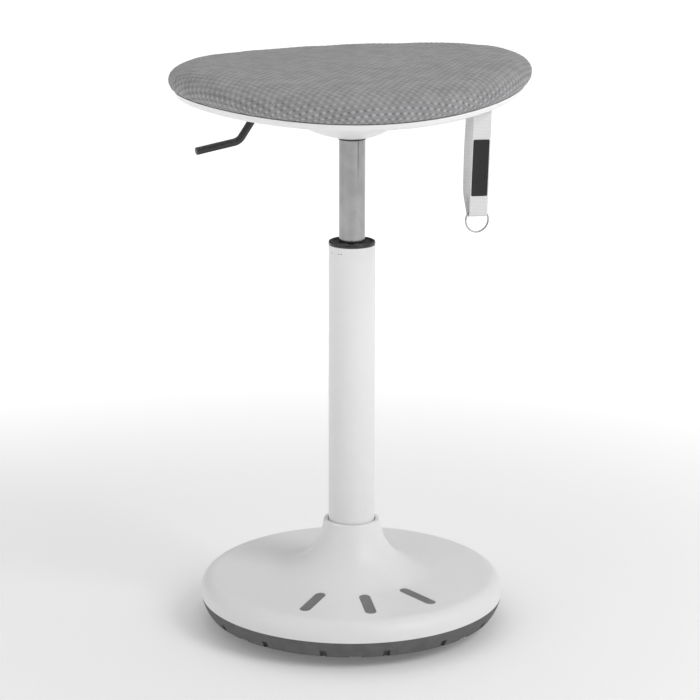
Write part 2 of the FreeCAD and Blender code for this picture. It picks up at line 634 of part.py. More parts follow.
def make_cover():
    top_radius, rim_top, bell_start = cover_levels()
    neck_height = bell_height(neck_radius, bell_start, bell_curve)
    hole = column_radius + neck_wall_gap
    lip_outer = neck_radius - neck_taper
    lip_top = neck_height + neck_lip_height
    inner_start = bell_start - cover_wall
    inner_curve = bell_curve + cover_wall
    inner_neck = neck_radius - cover_wall
    inner_height = bell_height(inner_neck, inner_start, inner_curve)
    rim_start = tread_height + cover_rim_height
    outline = [
        (tread_radius - cover_wall, tread_height), (tread_radius, tread_height),
        (tread_radius, rim_start, cover_rim_radius), (top_radius, rim_top),
        (bell_start_radius, bell_start, -bell_curve), (neck_radius, neck_height),
        (lip_outer, lip_top - neck_lip_round, neck_lip_round), (lip_outer - neck_lip_round, lip_top),
        (hole + edge_break, lip_top), (hole, lip_top - edge_break), (hole, inner_height + cover_wall),
        (inner_neck, inner_height, inner_curve), (bell_start_radius, inner_start),
        (top_radius, rim_top - cover_wall, -(cover_rim_radius - cover_wall)),
        (tread_radius - cover_wall, rim_start)]
    body = turned("cover_body", outline)
    bosses, tools, screws = [], [], []
    screw_top = screw_recess + cover_screw_length
    for index, (x, y) in enumerate(boss_places()):
        bosses.append(cylinder(f"cover_boss_{index}", boss_radius, tread_floor, rim_top - cover_wall / 2,
                               x, y))
        tools.append(cylinder(f"cover_hole_{index}", cover_screw_radius + running, tread_floor,
                              screw_top + cover_screw_spare, x, y))
        screws.append(screw(f"cover_screw_{index}", screw_recess - cover_screw_head_height, screw_recess,
                            cover_screw_length, cover_screw_head, cover_screw_radius, x, y))
    angles = spread(inlay_count, inlay_first, inlay_pitch)
    tools += [inlay_prism(f"cover_slot_{index}", snug, angle) for index, angle in enumerate(angles)]
    solid = join("cover_solid", [body] + bosses)
    node("base_cover", cut("cover_cut", solid, join("cover_tools", tools)))
    node("cover_screws", group("cover_screw_group", screws))


def screw(name, low, seat, length, head_radius, shank_radius, x, y):
    """A screw that points up: its head from low to seat, its shank from there."""
    head = cylinder(f"{name}_head", head_radius, low, seat, x, y)
    shank = cylinder(f"{name}_shank", shank_radius, seat, as_size(seat) + length, x, y)
    drive = hexagon(f"{name}_drive", screw_drive_width, low, as_size(low) + screw_drive_depth, x, y)
    return cut(name, join(f"{name}_form", [head, shank]), drive)


def make_inlays():
    top_radius, rim_top, bell_start = cover_levels()
    high = inlay_sink
    low = inlay_sink + inlay_thick
    outer = inlay_outer + inlay_width / 2
    inner = inlay_inner - inlay_width / 2
    rise = cover_slope / (bell_start_radius - top_radius)
    outer_height = rim_top + (outer - top_radius) * rise
    inner_height = bell_height(inner, bell_start, bell_curve)
    for index, angle in enumerate(spread(inlay_count, inlay_first, inlay_pitch)):
        band = turned(f"inlay_band_{index}", [
            (outer, outer_height - low), (outer, outer_height - high),
            (bell_start_radius, bell_start - high, -bell_curve), (inner, inner_height - high),
            (inner, inner_height - low, bell_curve), (bell_start_radius, bell_start - low)])
        prism = inlay_prism(f"inlay_prism_{index}", 0, angle)
        node(f"cover_inlay_{index + 1}", common(f"inlay_{index}", band, prism))


# Column and bearing

def bearing_levels():
    ballast_top, flange_top = socket_levels()
    plate_low = flange_top + foot_plate_rise
    plate_top = plate_low + foot_plate_thick
    race_low = plate_top + washer_thick
    race_high = race_low + ball_radius * 2
    return flange_top, plate_low, plate_top, race_low, race_high, race_high + washer_thick


def make_column():
    flange_top, plate_low, plate_top, race_low, race_high, stack_top = bearing_levels()
    bore = column_radius - column_wall
    node("column_tube", washer("column_body", bore, column_radius, flange_top, column_top))
    node("column_foot_plate", washer("foot_plate_body", rod_neck_radius + running, bore - running,
                                     plate_low, plate_top))
    node("lower_bearing_washer", washer("lower_race", rod_neck_radius + running, washer_radius,
                                        plate_top, race_low))
    collar_inner = column_radius - collar_wall
    collar_top = column_top + collar_height
    node("column_collar", turned("collar_body", [
        (collar_inner, column_top), (column_radius, column_top),
        (column_radius, collar_top - edge_round, edge_round),
        (column_radius - edge_round, collar_top), (collar_inner + edge_break, collar_top),
        (collar_inner, collar_top - edge_break)]))
    bush_inner = tube_radius + running
    bush_top = column_top + bush_rise
    bush_outer = collar_inner - snug
    node("guide_bush", turned("bush_body", [
        (bush_inner, column_top - bush_length + edge_round),
        (bush_inner + edge_round, column_top - bush_length),
        (bore - snug, column_top - bush_length), (bore - snug, column_top - bush_shoulder),
        (bush_outer, column_top - bush_shoulder), (bush_outer, bush_top),
        (bush_inner + edge_break, bush_top),
        (bush_inner, bush_top - edge_break)]))
    node("upper_bearing_washer", washer("upper_race", rod_neck_radius + running, washer_radius,
                                        race_high, stack_top))
    middle = race_low + ball_radius
    cage = washer("cage_body", ball_pitch_radius - cage_margin, ball_pitch_radius + cage_margin,
                  middle - cage_thick / 2, middle + cage_thick / 2)
    holes, balls = [], []
    for index, angle in enumerate(full_circle(ball_count)):
        x, y = at_angle(ball_pitch_radius, angle)
        holes.append(cylinder(f"cage_hole_{index}", ball_radius + running, middle - cage_thick,
                              middle + cage_thick, x, y))
        ball = doc.addObject("Part::Sphere", f"ball_{index}")
        bind(ball, "Radius", ball_radius - running / 5)
        balls.append(place(ball, x, y, middle))
    node("ball_cage", cut("cage_cut", cage, join("cage_holes", holes)))
    node("bearing_balls", group("ball_group", balls))
    node("end_bumper", turned("bumper_body", [
        (rod_radius + running, stack_top), (bumper_radius, stack_top),
        (bumper_radius, stack_top + bumper_height - edge_round, edge_round),
        (bumper_radius - edge_round, stack_top + bumper_height),
        (rod_radius + running, stack_top + bumper_height)]))
    clip_low, clip_top = clip_levels(plate_low)
    ring = washer("clip_ring", clip_seat + running, clip_radius, clip_low, clip_top)
    mouth = block("clip_opening", 0, clip_radius * 2, -clip_mouth / 2, clip_mouth / 2, clip_low,
                  clip_top, 90)
    node("rod_clip", cut("clip_cut", ring, mouth))


def clip_levels(plate_low):
    clip_top = plate_low - clip_gap
    return clip_top - clip_thick, clip_top


def piston_levels():
    tube_bottom = tube_top - tube_length
    guide_low = tube_bottom + tube_lip
    seal_low = guide_low + guide_height
    seal_top = seal_low + seal_height
    piston_low = seal_top + lift_up + piston_margin
    return tube_bottom, guide_low, seal_low, seal_top, piston_low, piston_low + piston_height


def make_rod():
    flange_top, plate_low, plate_top, race_low, race_high, stack_top = bearing_levels()
    tube_bottom, guide_low, seal_low, seal_top, piston_low, piston_top = piston_levels()
    clip_low, clip_top = clip_levels(plate_low)
    rod_end = plate_low - rod_end_drop
    rod_top = piston_top + nut_height
    node("piston_rod", turned("rod_body", [
        (0, rod_end), (rod_neck_radius - edge_break, rod_end), (rod_neck_radius, rod_end + edge_break),
        (rod_neck_radius, clip_low - running), (clip_seat, clip_low - running),
        (clip_seat, clip_top + running),
        (rod_neck_radius, clip_top + running), (rod_neck_radius, stack_top), (rod_radius, stack_top),
        (rod_radius, piston_low), (rod_neck_radius, piston_low), (rod_neck_radius, rod_top),
        (0, rod_top)]))
    bore = tube_radius - tube_wall
    middle = (piston_low + piston_top) / 2
    groove = bore - running - ring_depth
    node("piston_head", turned("piston_body", [
        (rod_neck_radius, piston_low), (bore - piston_gap, piston_low),
        (bore - piston_gap, middle - ring_height / 2), (groove, middle - ring_height / 2),
        (groove, middle + ring_height / 2), (bore - piston_gap, middle + ring_height / 2),
        (bore - piston_gap, piston_top), (rod_neck_radius, piston_top)]))
    node("piston_seal", washer("piston_seal_body", groove, bore - running, middle - ring_height / 2,
                               middle + ring_height / 2))
    nut = hexagon("piston_nut_form", nut_width, piston_top, rod_top)
    nut_hole = cylinder("piston_nut_hole", rod_neck_radius, piston_top, rod_top)
    node("piston_nut", cut("piston_nut_cut", nut, nut_hole))


# Gas spring

def make_tube():
    tube_bottom, guide_low, seal_low, seal_top, piston_low, piston_top = piston_levels()
    bore = tube_radius - tube_wall
    node("pressure_tube", turned("tube_body", [
        (bore - tube_lip, tube_bottom), (tube_radius - edge_break, tube_bottom),
        (tube_radius, tube_bottom + edge_break),
        (tube_radius, hub_bottom), (taper_top_radius, tube_top), (bore, tube_top), (bore, guide_low),
        (bore - tube_lip, guide_low)]))
    node("rod_guide", washer("guide_body", rod_radius + running, bore - running, guide_low, seal_low))
    node("rod_seal", turned("seal_body", [
        (rod_radius + running, seal_low), (bore - running, seal_low), (bore - running, seal_top),
        (bore - seal_lip, seal_top), (bore - seal_lip, seal_top - seal_lip),
        (rod_radius + seal_lip, seal_top - seal_lip),
        (rod_radius + seal_lip, seal_top), (rod_radius + running, seal_top)]))
    valve_low = tube_top - valve_length
    pin_top = lever_height - lever_radius - pin_gap
    step = pin_top - pin_head_length - pin_travel
    node("valve_body", turned("valve_form", [
        (pin_stem_radius + running, valve_low), (bore - running, valve_low), (bore - running, tube_top),
        (pin_radius + running, tube_top), (pin_radius + running, step),
        (pin_stem_radius + running, step)]))
    edge = Size(
        pin_top.number - pin_dome.number + math.sqrt(pin_dome.number ** 2 - pin_radius.number ** 2),
        f"({pin_top.formula} - {pin_dome.formula} + "
        f"sqrt({pin_dome.formula} ^ 2 - {pin_radius.formula} ^ 2))")
    node("release_pin", turned("pin_body", [
        (0, pin_top - pin_length), (pin_stem_radius, pin_top - pin_length),
        (pin_stem_radius, pin_top - pin_head_length), (pin_radius, pin_top - pin_head_length),
        (pin_radius, edge, pin_dome), (0, pin_top)]))


# Seat carrier

def seat_node(name, thing):
    """A sub-part of the seat, modelled along the seat's long axis and turned with it."""
    place(thing, 0, 0, 0, seat_turn)
    return node(name, thing)


def taper_radius(height):
    """Radius of the tube's taper at a height."""
    share = (as_size(height) - hub_bottom) / (tube_top - hub_bottom)
    return tube_radius - (tube_radius - taper_top_radius) * share


def make_carrier():
    seat_node("taper_socket", turned("taper_body", [
        (tube_radius + running, socket_bottom), (socket_radius - edge_break, socket_bottom),
        (socket_radius, socket_bottom + edge_break), (socket_radius, socket_top),
        (taper_radius(socket_top) + running, socket_top), (tube_radius + running, hub_bottom)]))
    flange_low = board_pad_height - pan_thick
    pan = turned("pan_body", [
        (socket_radius, pan_floor), (pan_floor_radius, pan_floor), (pan_wall_radius, flange_low),
        (pan_radius, flange_low), (pan_radius, board_pad_height),
        (pan_wall_radius - pan_draw, board_pad_height),
        (pan_floor_radius - pan_draw, pan_floor + pan_thick), (socket_radius, pan_floor + pan_thick)])
    half = lever_slot_width / 2
    tools = [block("pan_lever_slot", pan_floor_radius - lever_slot_room, pan_radius * 2, -half, half,
                   lever_height - lever_radius - lever_slot_room, board_pad_height, lever_angle)]
    for index, (x, y) in enumerate(plate_screw_places()):
        tools.append(cylinder(f"pan_hole_{index}", plate_screw_radius + snug, flange_low,
                              board_pad_height, x, y))
    seat_node("mounting_pan", cut("pan_cut", pan, join("pan_tools", tools)))

    floor = pan_floor + pan_thick
    ear_inner = lever_radius + ear_gap
    ear_outer = ear_inner + ear_thick
    near = lever_pivot - ear_length / 2
    far = lever_pivot + ear_length / 2
    ear_top = lever_height + lever_pin_radius + ear_rim
    ears = [block("bracket_base", near, far, -ear_outer, ear_outer, floor, floor + ear_base, lever_angle),
            block("bracket_left", near, far, -ear_outer, -ear_inner, floor, ear_top, lever_angle),
            block("bracket_right", near, far, ear_inner, ear_outer, floor, ear_top, lever_angle)]
    bore = cross_pin("bracket_bore", lever_pin_radius, ear_outer + pin_stand)
    seat_node("lever_bracket", cut("bracket_cut", join("bracket_form", ears), bore))
    pin = cross_pin("lever_pin_form", lever_pin_radius, ear_outer + pin_stand)
    seat_node("lever_pin", group("lever_pin_group", [pin]))


def tee_level():
    return board_pad_height + tee_rise + tee_length


def make_seat_screws():
    flange_low = board_pad_height - pan_thick
    head_low = flange_low - plate_screw_head_height
    tee_top = tee_level()
    tee_low = tee_top - tee_length
    for index, (x, y) in enumerate(plate_screw_places()):
        head = cylinder(f"plate_screw_head_{index}", plate_screw_head, head_low, flange_low, x, y)
        shank = cylinder(f"plate_screw_shank_{index}", plate_screw_radius, flange_low,
                         tee_top - tee_rise, x, y)
        drive = hexagon(f"plate_screw_drive_{index}", plate_drive_width, head_low,
                        head_low + plate_drive_depth, x, y)
        form = join(f"plate_screw_form_{index}", [head, shank])
        seat_node(f"seat_screw_{index + 1}", cut(f"plate_screw_{index}", form, drive))
        barrel_radius = plate_screw_radius + running + tee_barrel
        barrel = cylinder(f"tee_barrel_{index}", barrel_radius, tee_low, tee_top, x, y)
        flange = cylinder(f"tee_flange_{index}", tee_flange_radius, tee_top - tee_flange_thick, tee_top,
                          x, y)
        hole = cylinder(f"tee_hole_{index}", plate_screw_radius + running, tee_low, tee_top, x, y)
        form = join(f"tee_form_{index}", [barrel, flange])
        seat_node(f"tee_nut_{index + 1}", cut(f"tee_{index}", form, hole))


def plate_screw_places():
    first = lever_angle + plate_screw_turn
    return [at_angle(plate_screw_pitch, angle) for angle in full_circle(plate_screw_count, first)]


def cross_pin(name, radius, half_length):
    """A pin through the lever's pivot, square to the lever."""
    thing = doc.addObject("Part::Cylinder", name)
    bind(thing, "Radius", radius)
    bind(thing, "Height", half_length * 2)
    x = lever_pivot * cosine(lever_angle) + half_length * sine(lever_angle)
    y = lever_pivot * sine(lever_angle) - half_length * cosine(lever_angle)
    turn = math.radians(lever_angle.number)
    axis = Vector(-math.cos(turn), -math.sin(turn), 0)
    return place(thing, x, y, lever_height, 90, axis)


# Bent rods and webbing

def bent_path(points, radii):
    """Straight runs through the points, joined by tangent arcs."""
    edges = []
    start = points[0]
    for index in range(1, len(points) - 1):
        corner = points[index]
        back = (points[index - 1] - corner).normalize()
        ahead = (points[index + 1] - corner).normalize()
        half = back.getAngle(ahead) / 2
        radius = radii[index - 1]
        reach = radius / math.tan(half)
        first = corner + back * reach
        last = corner + ahead * reach
        centre = corner + (back + ahead).normalize() * (radius / math.sin(half))
        middle = centre + (corner - centre).normalize() * radius
        edges.append(Part.makeLine(start, first))
        edges.append(Part.Arc(first, middle, last).toShape())
        start = last
    edges.append(Part.makeLine(start, points[-1]))
    return Part.Wire(edges)


def free_shape(name, shape):
    thing = doc.addObject("Part::Feature", name)
    thing.Shape = shape
    return thing


def make_lever():
    height = lever_height.number
    points = [
        Vector(-lever_inner.number, 0, height), Vector(lever_knee.number, 0, height),
        Vector(lever_elbow.number, 0, lever_elbow_height.number),
        Vector(lever_tip.number, 0, lever_tip_height.number)]
    path = bent_path(points, [lever_bend.number, lever_bend.number])
    section = Part.Wire([Part.Circle(points[0], Vector(1, 0, 0), lever_radius.number).toShape()])
    rod = path.makePipeShell([section], True, True)
    tip = points[-1]
    reach = edge_break.number
    ends = [edge for edge in rod.Edges if edge.Closed and (edge.CenterOfMass - tip).Length < reach]
    rod = rod.makeChamfer(edge_break.number, ends)
    rod.rotate(ORIGIN, UP, lever_angle.number)
    bore = cross_pin("lever_bore", lever_pin_radius + running, lever_radius * 2)
    seat_node("release_lever", cut("lever_cut", free_shape("lever_rod", rod), bore))


# Saddle forms

def saddle(x, y):
    """Height of the saddle over its middle at a point of the seat, in plain numbers."""
    x = (x - seat_shift.number) / seat_radius.number
    y = y / seat_radius.number
    ends = side_rise.number * (x * x - y * y)
    tilt = back_rise.number * x
    wave = edge_wave.number * (3 * x * x * y - y ** 3)
    return ends + tilt - wave


def saddle_ring(radius, height, share=1.0):
    """Points of a closed ring at a radius; share says how far it follows the saddle and its centre."""
    points = []
    for index in range(RING_POINTS):
        angle = 2 * math.pi * index / RING_POINTS
        x = radius * math.cos(angle) + seat_shift.number * share
        y = radius * math.sin(angle)
        points.append(Vector(x, y, height + share * saddle(x, y)))
    return points


def flat_ring(radius, height):
    return saddle_ring(radius, height, 0.0)


def ring_curve(points):
    curve = Part.BSplineCurve()
    steps = [index / len(points) for index in range(len(points) + 1)]
    curve.interpolate(Points=points, Parameters=steps, PeriodicFlag=True)
    return curve


def ring_face(rings):
    """A smooth face through rings, exact along its first and last ring."""
    curves = [ring_curve(points) for points in rings]
    lengths = [0.0]
    for before, after in zip(rings, rings[1:]):
        gaps = [(a - b).Length for a, b in zip(before, after)]
        lengths.append(lengths[-1] + sum(gaps) / len(gaps))
    columns = []
    for poles in zip(*[curve.getPoles() for curve in curves]):
        rise = Part.BSplineCurve()
        rise.interpolate(Points=list(poles), Parameters=lengths)
        columns.append(rise)
    rows = [list(row) for row in zip(*[rise.getPoles() for rise in columns])]
    first, around = columns[0], curves[0]
    surface = Part.BSplineSurface()
    surface.buildFromPolesMultsKnots(
        rows, first.getMultiplicities(), around.getMultiplicities(), first.getKnots(), around.getKnots(),
        False, True, first.Degree, around.Degree)
    return surface.toShape()


def ring_solid(name, sections):
    """A solid of smooth runs of rings, closed by flat ends where its last ring isn't its first."""
    faces = [ring_face(rings) for rings in sections]
    first, last = sections[0][0], sections[-1][-1]
    if (first[0] - last[0]).Length > 0:
        faces += [Part.Face(Part.Wire([ring_curve(points).toShape()])) for points in (first, last)]
    skin = Part.Compound(faces)
    skin.sewShape()
    solid = Part.Solid(skin.Shells[0])
    if solid.Volume < 0:
        solid.reverse()
    return free_shape(name, solid)


def reversed_run(sections):
    return [rings[::-1] for rings in sections[::-1]]


def level(rise, radius):
    """Two runs of rings that follow the saddle at a rise above the seam, out to a radius."""
    height = seat_height.number + rise
    full = seat_radius.number
    first, second = LEVEL_STARTS
    inner = [flat_ring(first * full, height), saddle_ring(second * full, height, 0.5)]
    inner += [saddle_ring(step * full, height) for step in (*LEVEL_STEPS, LEVEL_SPLIT)]
    return [inner, level_edge(rise, radius)]


def level_edge(rise, radius):
    height = seat_height.number + rise
    full = seat_radius.number
    return [saddle_ring(step, height) for step in (LEVEL_SPLIT * full, LEVEL_EDGE * full, radius)]


def wall_between(*places):
    """Rings through places given as a distance and a rise above the seam."""
    return [saddle_ring(radius, seat_height.number + rise) for radius, rise in places]


def cushion_side(inset):
    """The cushion's face from its seam to its shoulder, as distances and rises above the seam."""
    tall = cushion_height.number
    bulge = cushion_bulge.number
    corners = [(0, seam_gap.number), (bulge * 1.5, tall * 0.25), (bulge * 1.3, tall * 0.98),
               (-tall * 0.9, tall)]
    places = []
    for share in (0.0, 0.12, 0.25, 0.38, 0.5, 0.62, 0.75, 0.88, 1.0):
        rest = 1 - share
        weights = (rest ** 3, 3 * rest ** 2 * share, 3 * rest * share ** 2, share ** 3)
        slopes = (-rest ** 2, rest ** 2 - 2 * rest * share, 2 * rest * share - share ** 2, share ** 2)
        across, upward = weighted(corners, weights)
        run, climb = weighted(corners, slopes)
        length = math.hypot(run, climb)
        places.append((seat_radius.number + across - inset * climb / length,
                       upward + inset * run / length))
    return places


def weighted(corners, weights):
    return [sum(weight * corner[part] for weight, corner in zip(weights, corners)) for part in (0, 1)]


def cushion_crown(inset):
    """The cushion's top, from the middle out to its shoulder."""
    shoulder, rise = cushion_side(inset)[-1]
    return level(rise, shoulder)


def dish_height(radius):
    """Height of the shell's outer face over a distance from the axis, without the saddle's rise."""
    rise = sphere_rise(min(radius, hub_radius.number)) - sphere_rise(hub_hole())
    return hub_bottom.number + rise + dish_slope.number * max(radius - hub_radius.number, 0)


def sphere_rise(radius):
    return hub_sphere.number - math.sqrt(hub_sphere.number ** 2 - radius ** 2)


def hub_hole():
    return (socket_radius + snug).number


def dish_share(radius):
    """How much of the saddle's rise the shell follows at a distance from the axis."""
    share = (radius - hub_hole()) / (hub_radius.number - hub_hole())
    share = min(max(share, 0.0), 1.0)
    return share * share * (3 - 2 * share)


def dish_rings(wall):
    """The shell's outer face from its hub to its rim, or its inner face where a wall is given."""
    middle = hub_radius.number
    reach = middle - hub_hole()
    radii = [hub_hole()] + [hub_hole() + share * reach for share in HUB_STEPS] + [middle]
    hub = [saddle_ring(radius, dish_height(radius) + wall, dish_share(radius)) for radius in radii]
    lip = seat_radius.number - rim_tuck.number
    foot = lip - rim_foot.number
    reach = foot - middle
    radii = [middle] + [middle + share * reach for share in DISH_STEPS] + [foot - wall]
    slope = [saddle_ring(radius, dish_height(radius) + wall) for radius in radii]
    low = -rim_drop.number
    side = wall_between((lip - 0.6 - wall * 0.9, low - 0.6 + wall * 0.9),
                        (lip + 1.9 - wall, low + 2.2 + wall * 0.4), (seat_radius.number - wall, 0))
    return [hub, slope, [slope[-1]] + side]


def shell_screw_places():
    return [at_angle(shell_screw_pitch, angle) for angle in full_circle(shell_screw_count,
                                                                        shell_screw_turn)]


def shell_face(x, y):
    """Height of the shell's outer face at a point."""
    distance = math.hypot(x.number - seat_shift.number, y.number)
    return as_size(dish_height(distance) + saddle(x.number, y.number))


def strap_frame():
    """Place, face direction and width direction of the strap in the seat."""
    turn = math.radians(strap_angle.number)
    face = math.radians(strap_face.number)
    centre = Vector(math.cos(turn), math.sin(turn), 0) * strap_distance.number
    across = Vector(math.cos(face), math.sin(face), 0)
    inward = Vector(-math.sin(face), math.cos(face), 0)
    outer_face = dish_height((centre - Vector(seat_shift.number, 0, 0)).Length) + saddle(centre.x,
                                                                                         centre.y)
    centre.z = outer_face + shell_wall.number / 2
    return centre, across, inward


def turned_box(name, centre, across, inward, width, near, far, low, high):
    """A box about the strap's centre: width across, near to far inward, low to high."""
    box = Part.makeBox(width, far - near, high - low)
    box.translate(Vector(-width / 2, near, low))
    angle = math.degrees(math.atan2(across.y, across.x))
    box.Placement = Placement(centre, Rotation(UP, angle)).multiply(box.Placement)
    return free_shape(name, box)


def board_underside():
    """The board's lower face beyond its flat pad."""
    pad_edge = flat_ring(board_pad_radius.number, board_pad_height.number)
    edge = level_edge(-board_below.number, board_radius.number)
    return pad_edge, [pad_edge, edge[0]], edge


def make_board():
    radius = board_radius.number
    pad_edge, bevel, underside = board_underside()
    edge = wall_between((radius, -board_below.number), (radius, board_above.number))
    top = reversed_run(level(board_above.number, radius))
    solid = ring_solid("board_solid", [bevel, underside, edge] + top)
    tools = []
    tee_top = tee_level()
    for index, (x, y) in enumerate(plate_screw_places()):
        tools.append(cylinder(f"board_hole_{index}", plate_screw_radius + running + tee_barrel + snug,
                              board_pad_height, tee_top, x, y))
        tools.append(cylinder(f"board_sink_{index}", tee_flange_radius + snug,
                              tee_top - tee_flange_thick - snug,
                              seat_height + cushion_height, x, y))
    for index, (x, y) in enumerate(shell_screw_places()):
        screw_top = shell_face(x, y) + shell_screw_head_height + shell_screw_length
        tools.append(cylinder(f"board_pilot_{index}", shell_screw_radius + running, hub_bottom,
                              screw_top + cover_screw_spare, x, y))
    centre, across, inward = strap_frame()
    half = strap_gap.number / 2 + slot_swing.number + 2
    tools.append(turned_box("board_relief", centre, across, inward, strap_width.number + 6, -half, half,
                            -10, relief_rise.number + 2))
    seat_node("seat_board", cut("board_cut", solid, join("board_tools", tools)))


def make_cushion():
    wall = cover_thick.number
    radius = board_radius.number
    low, high = -board_below.number, board_above.number
    outer_side, inner_side = cushion_side(0), cushion_side(wall)
    foam_edge = wall_between((radius, high), inner_side[0])
    lining = [wall_between(*inner_side)] + reversed_run(cushion_crown(wall))
    seat_node("seat_foam", group("foam_group", [
        ring_solid("foam_form", level(high, radius) + [foam_edge] + lining)]))
    skirt = [
        wall_between(outer_side[0], (radius + wall, seam_gap.number)),
        wall_between((radius + wall, seam_gap.number), (radius + wall, low)),
        wall_between((radius + wall, low), (radius, low)), wall_between((radius, low), (radius, high))]
    outside = cushion_crown(0) + reversed_run([wall_between(*outer_side)])
    seat_node("seat_cover", group("cover_group", [
        ring_solid("cover_form", outside + skirt + [foam_edge] + lining)]))


def make_shell():
    wall = shell_wall.number
    radius = board_radius.number
    outer, inner = dish_rings(0), dish_rings(wall)
    rim = wall_between((seat_radius.number, 0), (seat_radius.number - wall, 0))
    hole = [inner[0][0], outer[0][0]]
    hollow = ring_solid("shell_hollow", outer + [rim] + reversed_run(inner) + [hole])
    pad_edge, bevel, underside = board_underside()
    column = [flat_ring(board_pad_radius.number, hub_bottom.number), pad_edge]
    floor = wall_between((radius, -board_below.number))[0]
    skirt = [floor, flat_ring(radius, hub_bottom.number)]
    below_board = ring_solid("below_board", [column, bevel, underside, skirt,
                                             [skirt[-1], column[0]]])
    inside = ring_solid("shell_filled", outer + [[outer[-1][-1], flat_ring(hub_hole(), (seat_height + cushion_height).number)]])
    bosses = group("shell_boss_forms", [
        cylinder(f"shell_boss_{index}", shell_boss_radius, hub_bottom, seat_height, x, y)
        for index, (x, y) in enumerate(shell_screw_places())])
    boss_part = common("shell_boss_part", common("shell_boss_low", bosses, below_board), inside)
    solid = join("shell_solid", [hollow, boss_part])
    tools = []
    half = lever_slot_width / 2
    tools.append(block("shell_lever_slot", lever_slot_inner + half, lever_slot_outer - half, -half, half,
                       hub_bottom, seat_height, lever_angle))
    for index, distance in enumerate((lever_slot_inner + half, lever_slot_outer - half)):
        x, y = at_angle(distance, lever_angle)
        tools.append(cylinder(f"shell_slot_end_{index}", half, hub_bottom, seat_height, x, y))
    for index, (x, y) in enumerate(shell_screw_places()):
        low = shell_face(x, y)
        seat = low + shell_screw_head_height
        tools.append(cylinder(f"shell_sink_{index}", shell_screw_head + snug, hub_bottom, seat, x, y))
        tools.append(cylinder(f"shell_pilot_{index}", shell_screw_radius + snug, hub_bottom, seat_height,
                              x, y))
        fixing = screw(f"shell_screw_{index}", low, seat, shell_screw_length, shell_screw_head,
                       shell_screw_radius, x, y)
        seat_node(f"shell_screw_{index + 1}", fixing)
    centre, across, inward = strap_frame()
    layer = strap_gap.number / 2
    inner_edge = layer - strap_thick.number / 2 - slot_play.number
    outer_edge = layer + strap_thick.number / 2 + slot_swing.number
    width = (strap_width + slot_side).number
    levels = (-slot_low.number, slot_high.number)
    tools.append(turned_box("strap_slot_front", centre, across, inward, width, -outer_edge, -inner_edge,
                            *levels))
    tools.append(turned_box("strap_slot_back", centre, across, inward, width, inner_edge, outer_edge,
                            *levels))
    seat_node("seat_shell", cut("shell_cut", solid, join("shell_tools", tools)))


# Strap and ring

def strap_placement():
    centre, across, inward = strap_frame()
    stand = Rotation(UP, strap_face.number)
    lean = Rotation(Vector(0, 1, 0), strap_lean.number)
    return Placement(centre, stand.multiply(lean))


def strap_section():
    """The loop's line, seen from its edge: x inward, z up, from the front layer round to the back."""
    layer = strap_gap.number / 2
    drop = strap_drop.number - strap_thick.number
    points = [
        Vector(0, -layer, strap_entry.number), Vector(0, -layer, -drop),
        Vector(0, -layer + strap_fold_width.number, -drop + strap_fold_rise.number),
        Vector(0, layer, -drop + strap_close.number), Vector(0, layer, strap_entry.number)]
    fold = strap_fold_radius.number
    return bent_path(points, [fold, fold, fold * 6])


def make_strap():
    path = strap_section()
    half = strap_width.number / 2
    thick = strap_thick.number / 2
    layer = strap_gap.number / 2
    top = strap_entry.number
    corners = [Vector(-half, -layer - thick, top), Vector(half, -layer - thick, top),
               Vector(half, -layer + thick, top), Vector(-half, -layer + thick, top)]
    section = Part.makePolygon(corners + [corners[0]])
    band = path.makePipeShell([section], True, False)
    band.Placement = strap_placement().multiply(band.Placement)
    seat_node("carry_strap", group("strap_group", [free_shape("strap_band", band)]))

    label = Part.makeBox(label_width.number, label_thick.number, label_height.number)
    label.translate(Vector(-label_width.number / 2, -layer - thick - label_thick.number,
                           -label_drop.number - label_height.number))
    label.Placement = strap_placement().multiply(label.Placement)
    seat_node("strap_label", group("label_group", [free_shape("label_patch", label)]))

    share = (ring_offset.number + ring_wire.number) / strap_fold_width.number
    fold_floor = -strap_drop.number + strap_thick.number * 1.5 + share * strap_fold_rise.number
    chord = math.sqrt(ring_radius.number ** 2 - half ** 2)
    wire_rise = ring_wire.number * ring_radius.number / chord
    ring_centre = fold_floor + ring_play.number + wire_rise - chord
    ring = Part.makeTorus(ring_radius.number, ring_wire.number, Vector(0, 0, 0), Vector(0, 1, 0))
    ring.translate(Vector(0, -layer + ring_offset.number, ring_centre))
    ring.Placement = strap_placement().multiply(ring.Placement)
    seat_node("key_ring", group("ring_group", [free_shape("ring_wire_form", ring)]))


def check_and_export():
    doc.recompute()
    for thing in doc.Objects:
        if "Invalid" in thing.State or "Error" in thing.State:
            raise RuntimeError(f"{thing.Name} failed: {thing.State}")
    os.makedirs("parts", exist_ok=True)
    for name, thing in nodes.items():
        shape = thing.Shape
        if shape.isNull() or not shape.isValid():
            raise RuntimeError(f"{name} has no valid shape")
        if not shape.Solids:
            raise RuntimeError(f"{name} has no solid")
        shape.exportStep(f"parts/{name}.step")
        print(f"{name}: {len(shape.Solids)} solids, {shape.Volume / 1000:.2f} cm3")


make_tread()
make_ballast()
make_socket()
make_cover()
make_inlays()
make_column()
make_rod()
make_tube()
make_carrier()
make_seat_screws()
make_lever()
make_board()
make_cushion()
make_shell()
make_strap()
check_and_export()
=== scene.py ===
"""Looks of a wobble stool: padded mesh seat, webbing strap, split ring, finishes and a plain studio."""

import json
import math

import bpy
import numpy as np
from bpy.props import FloatProperty, FloatVectorProperty, IntProperty, PointerProperty
from mathutils import Euler, Matrix, Vector
from mathutils.kdtree import KDTree


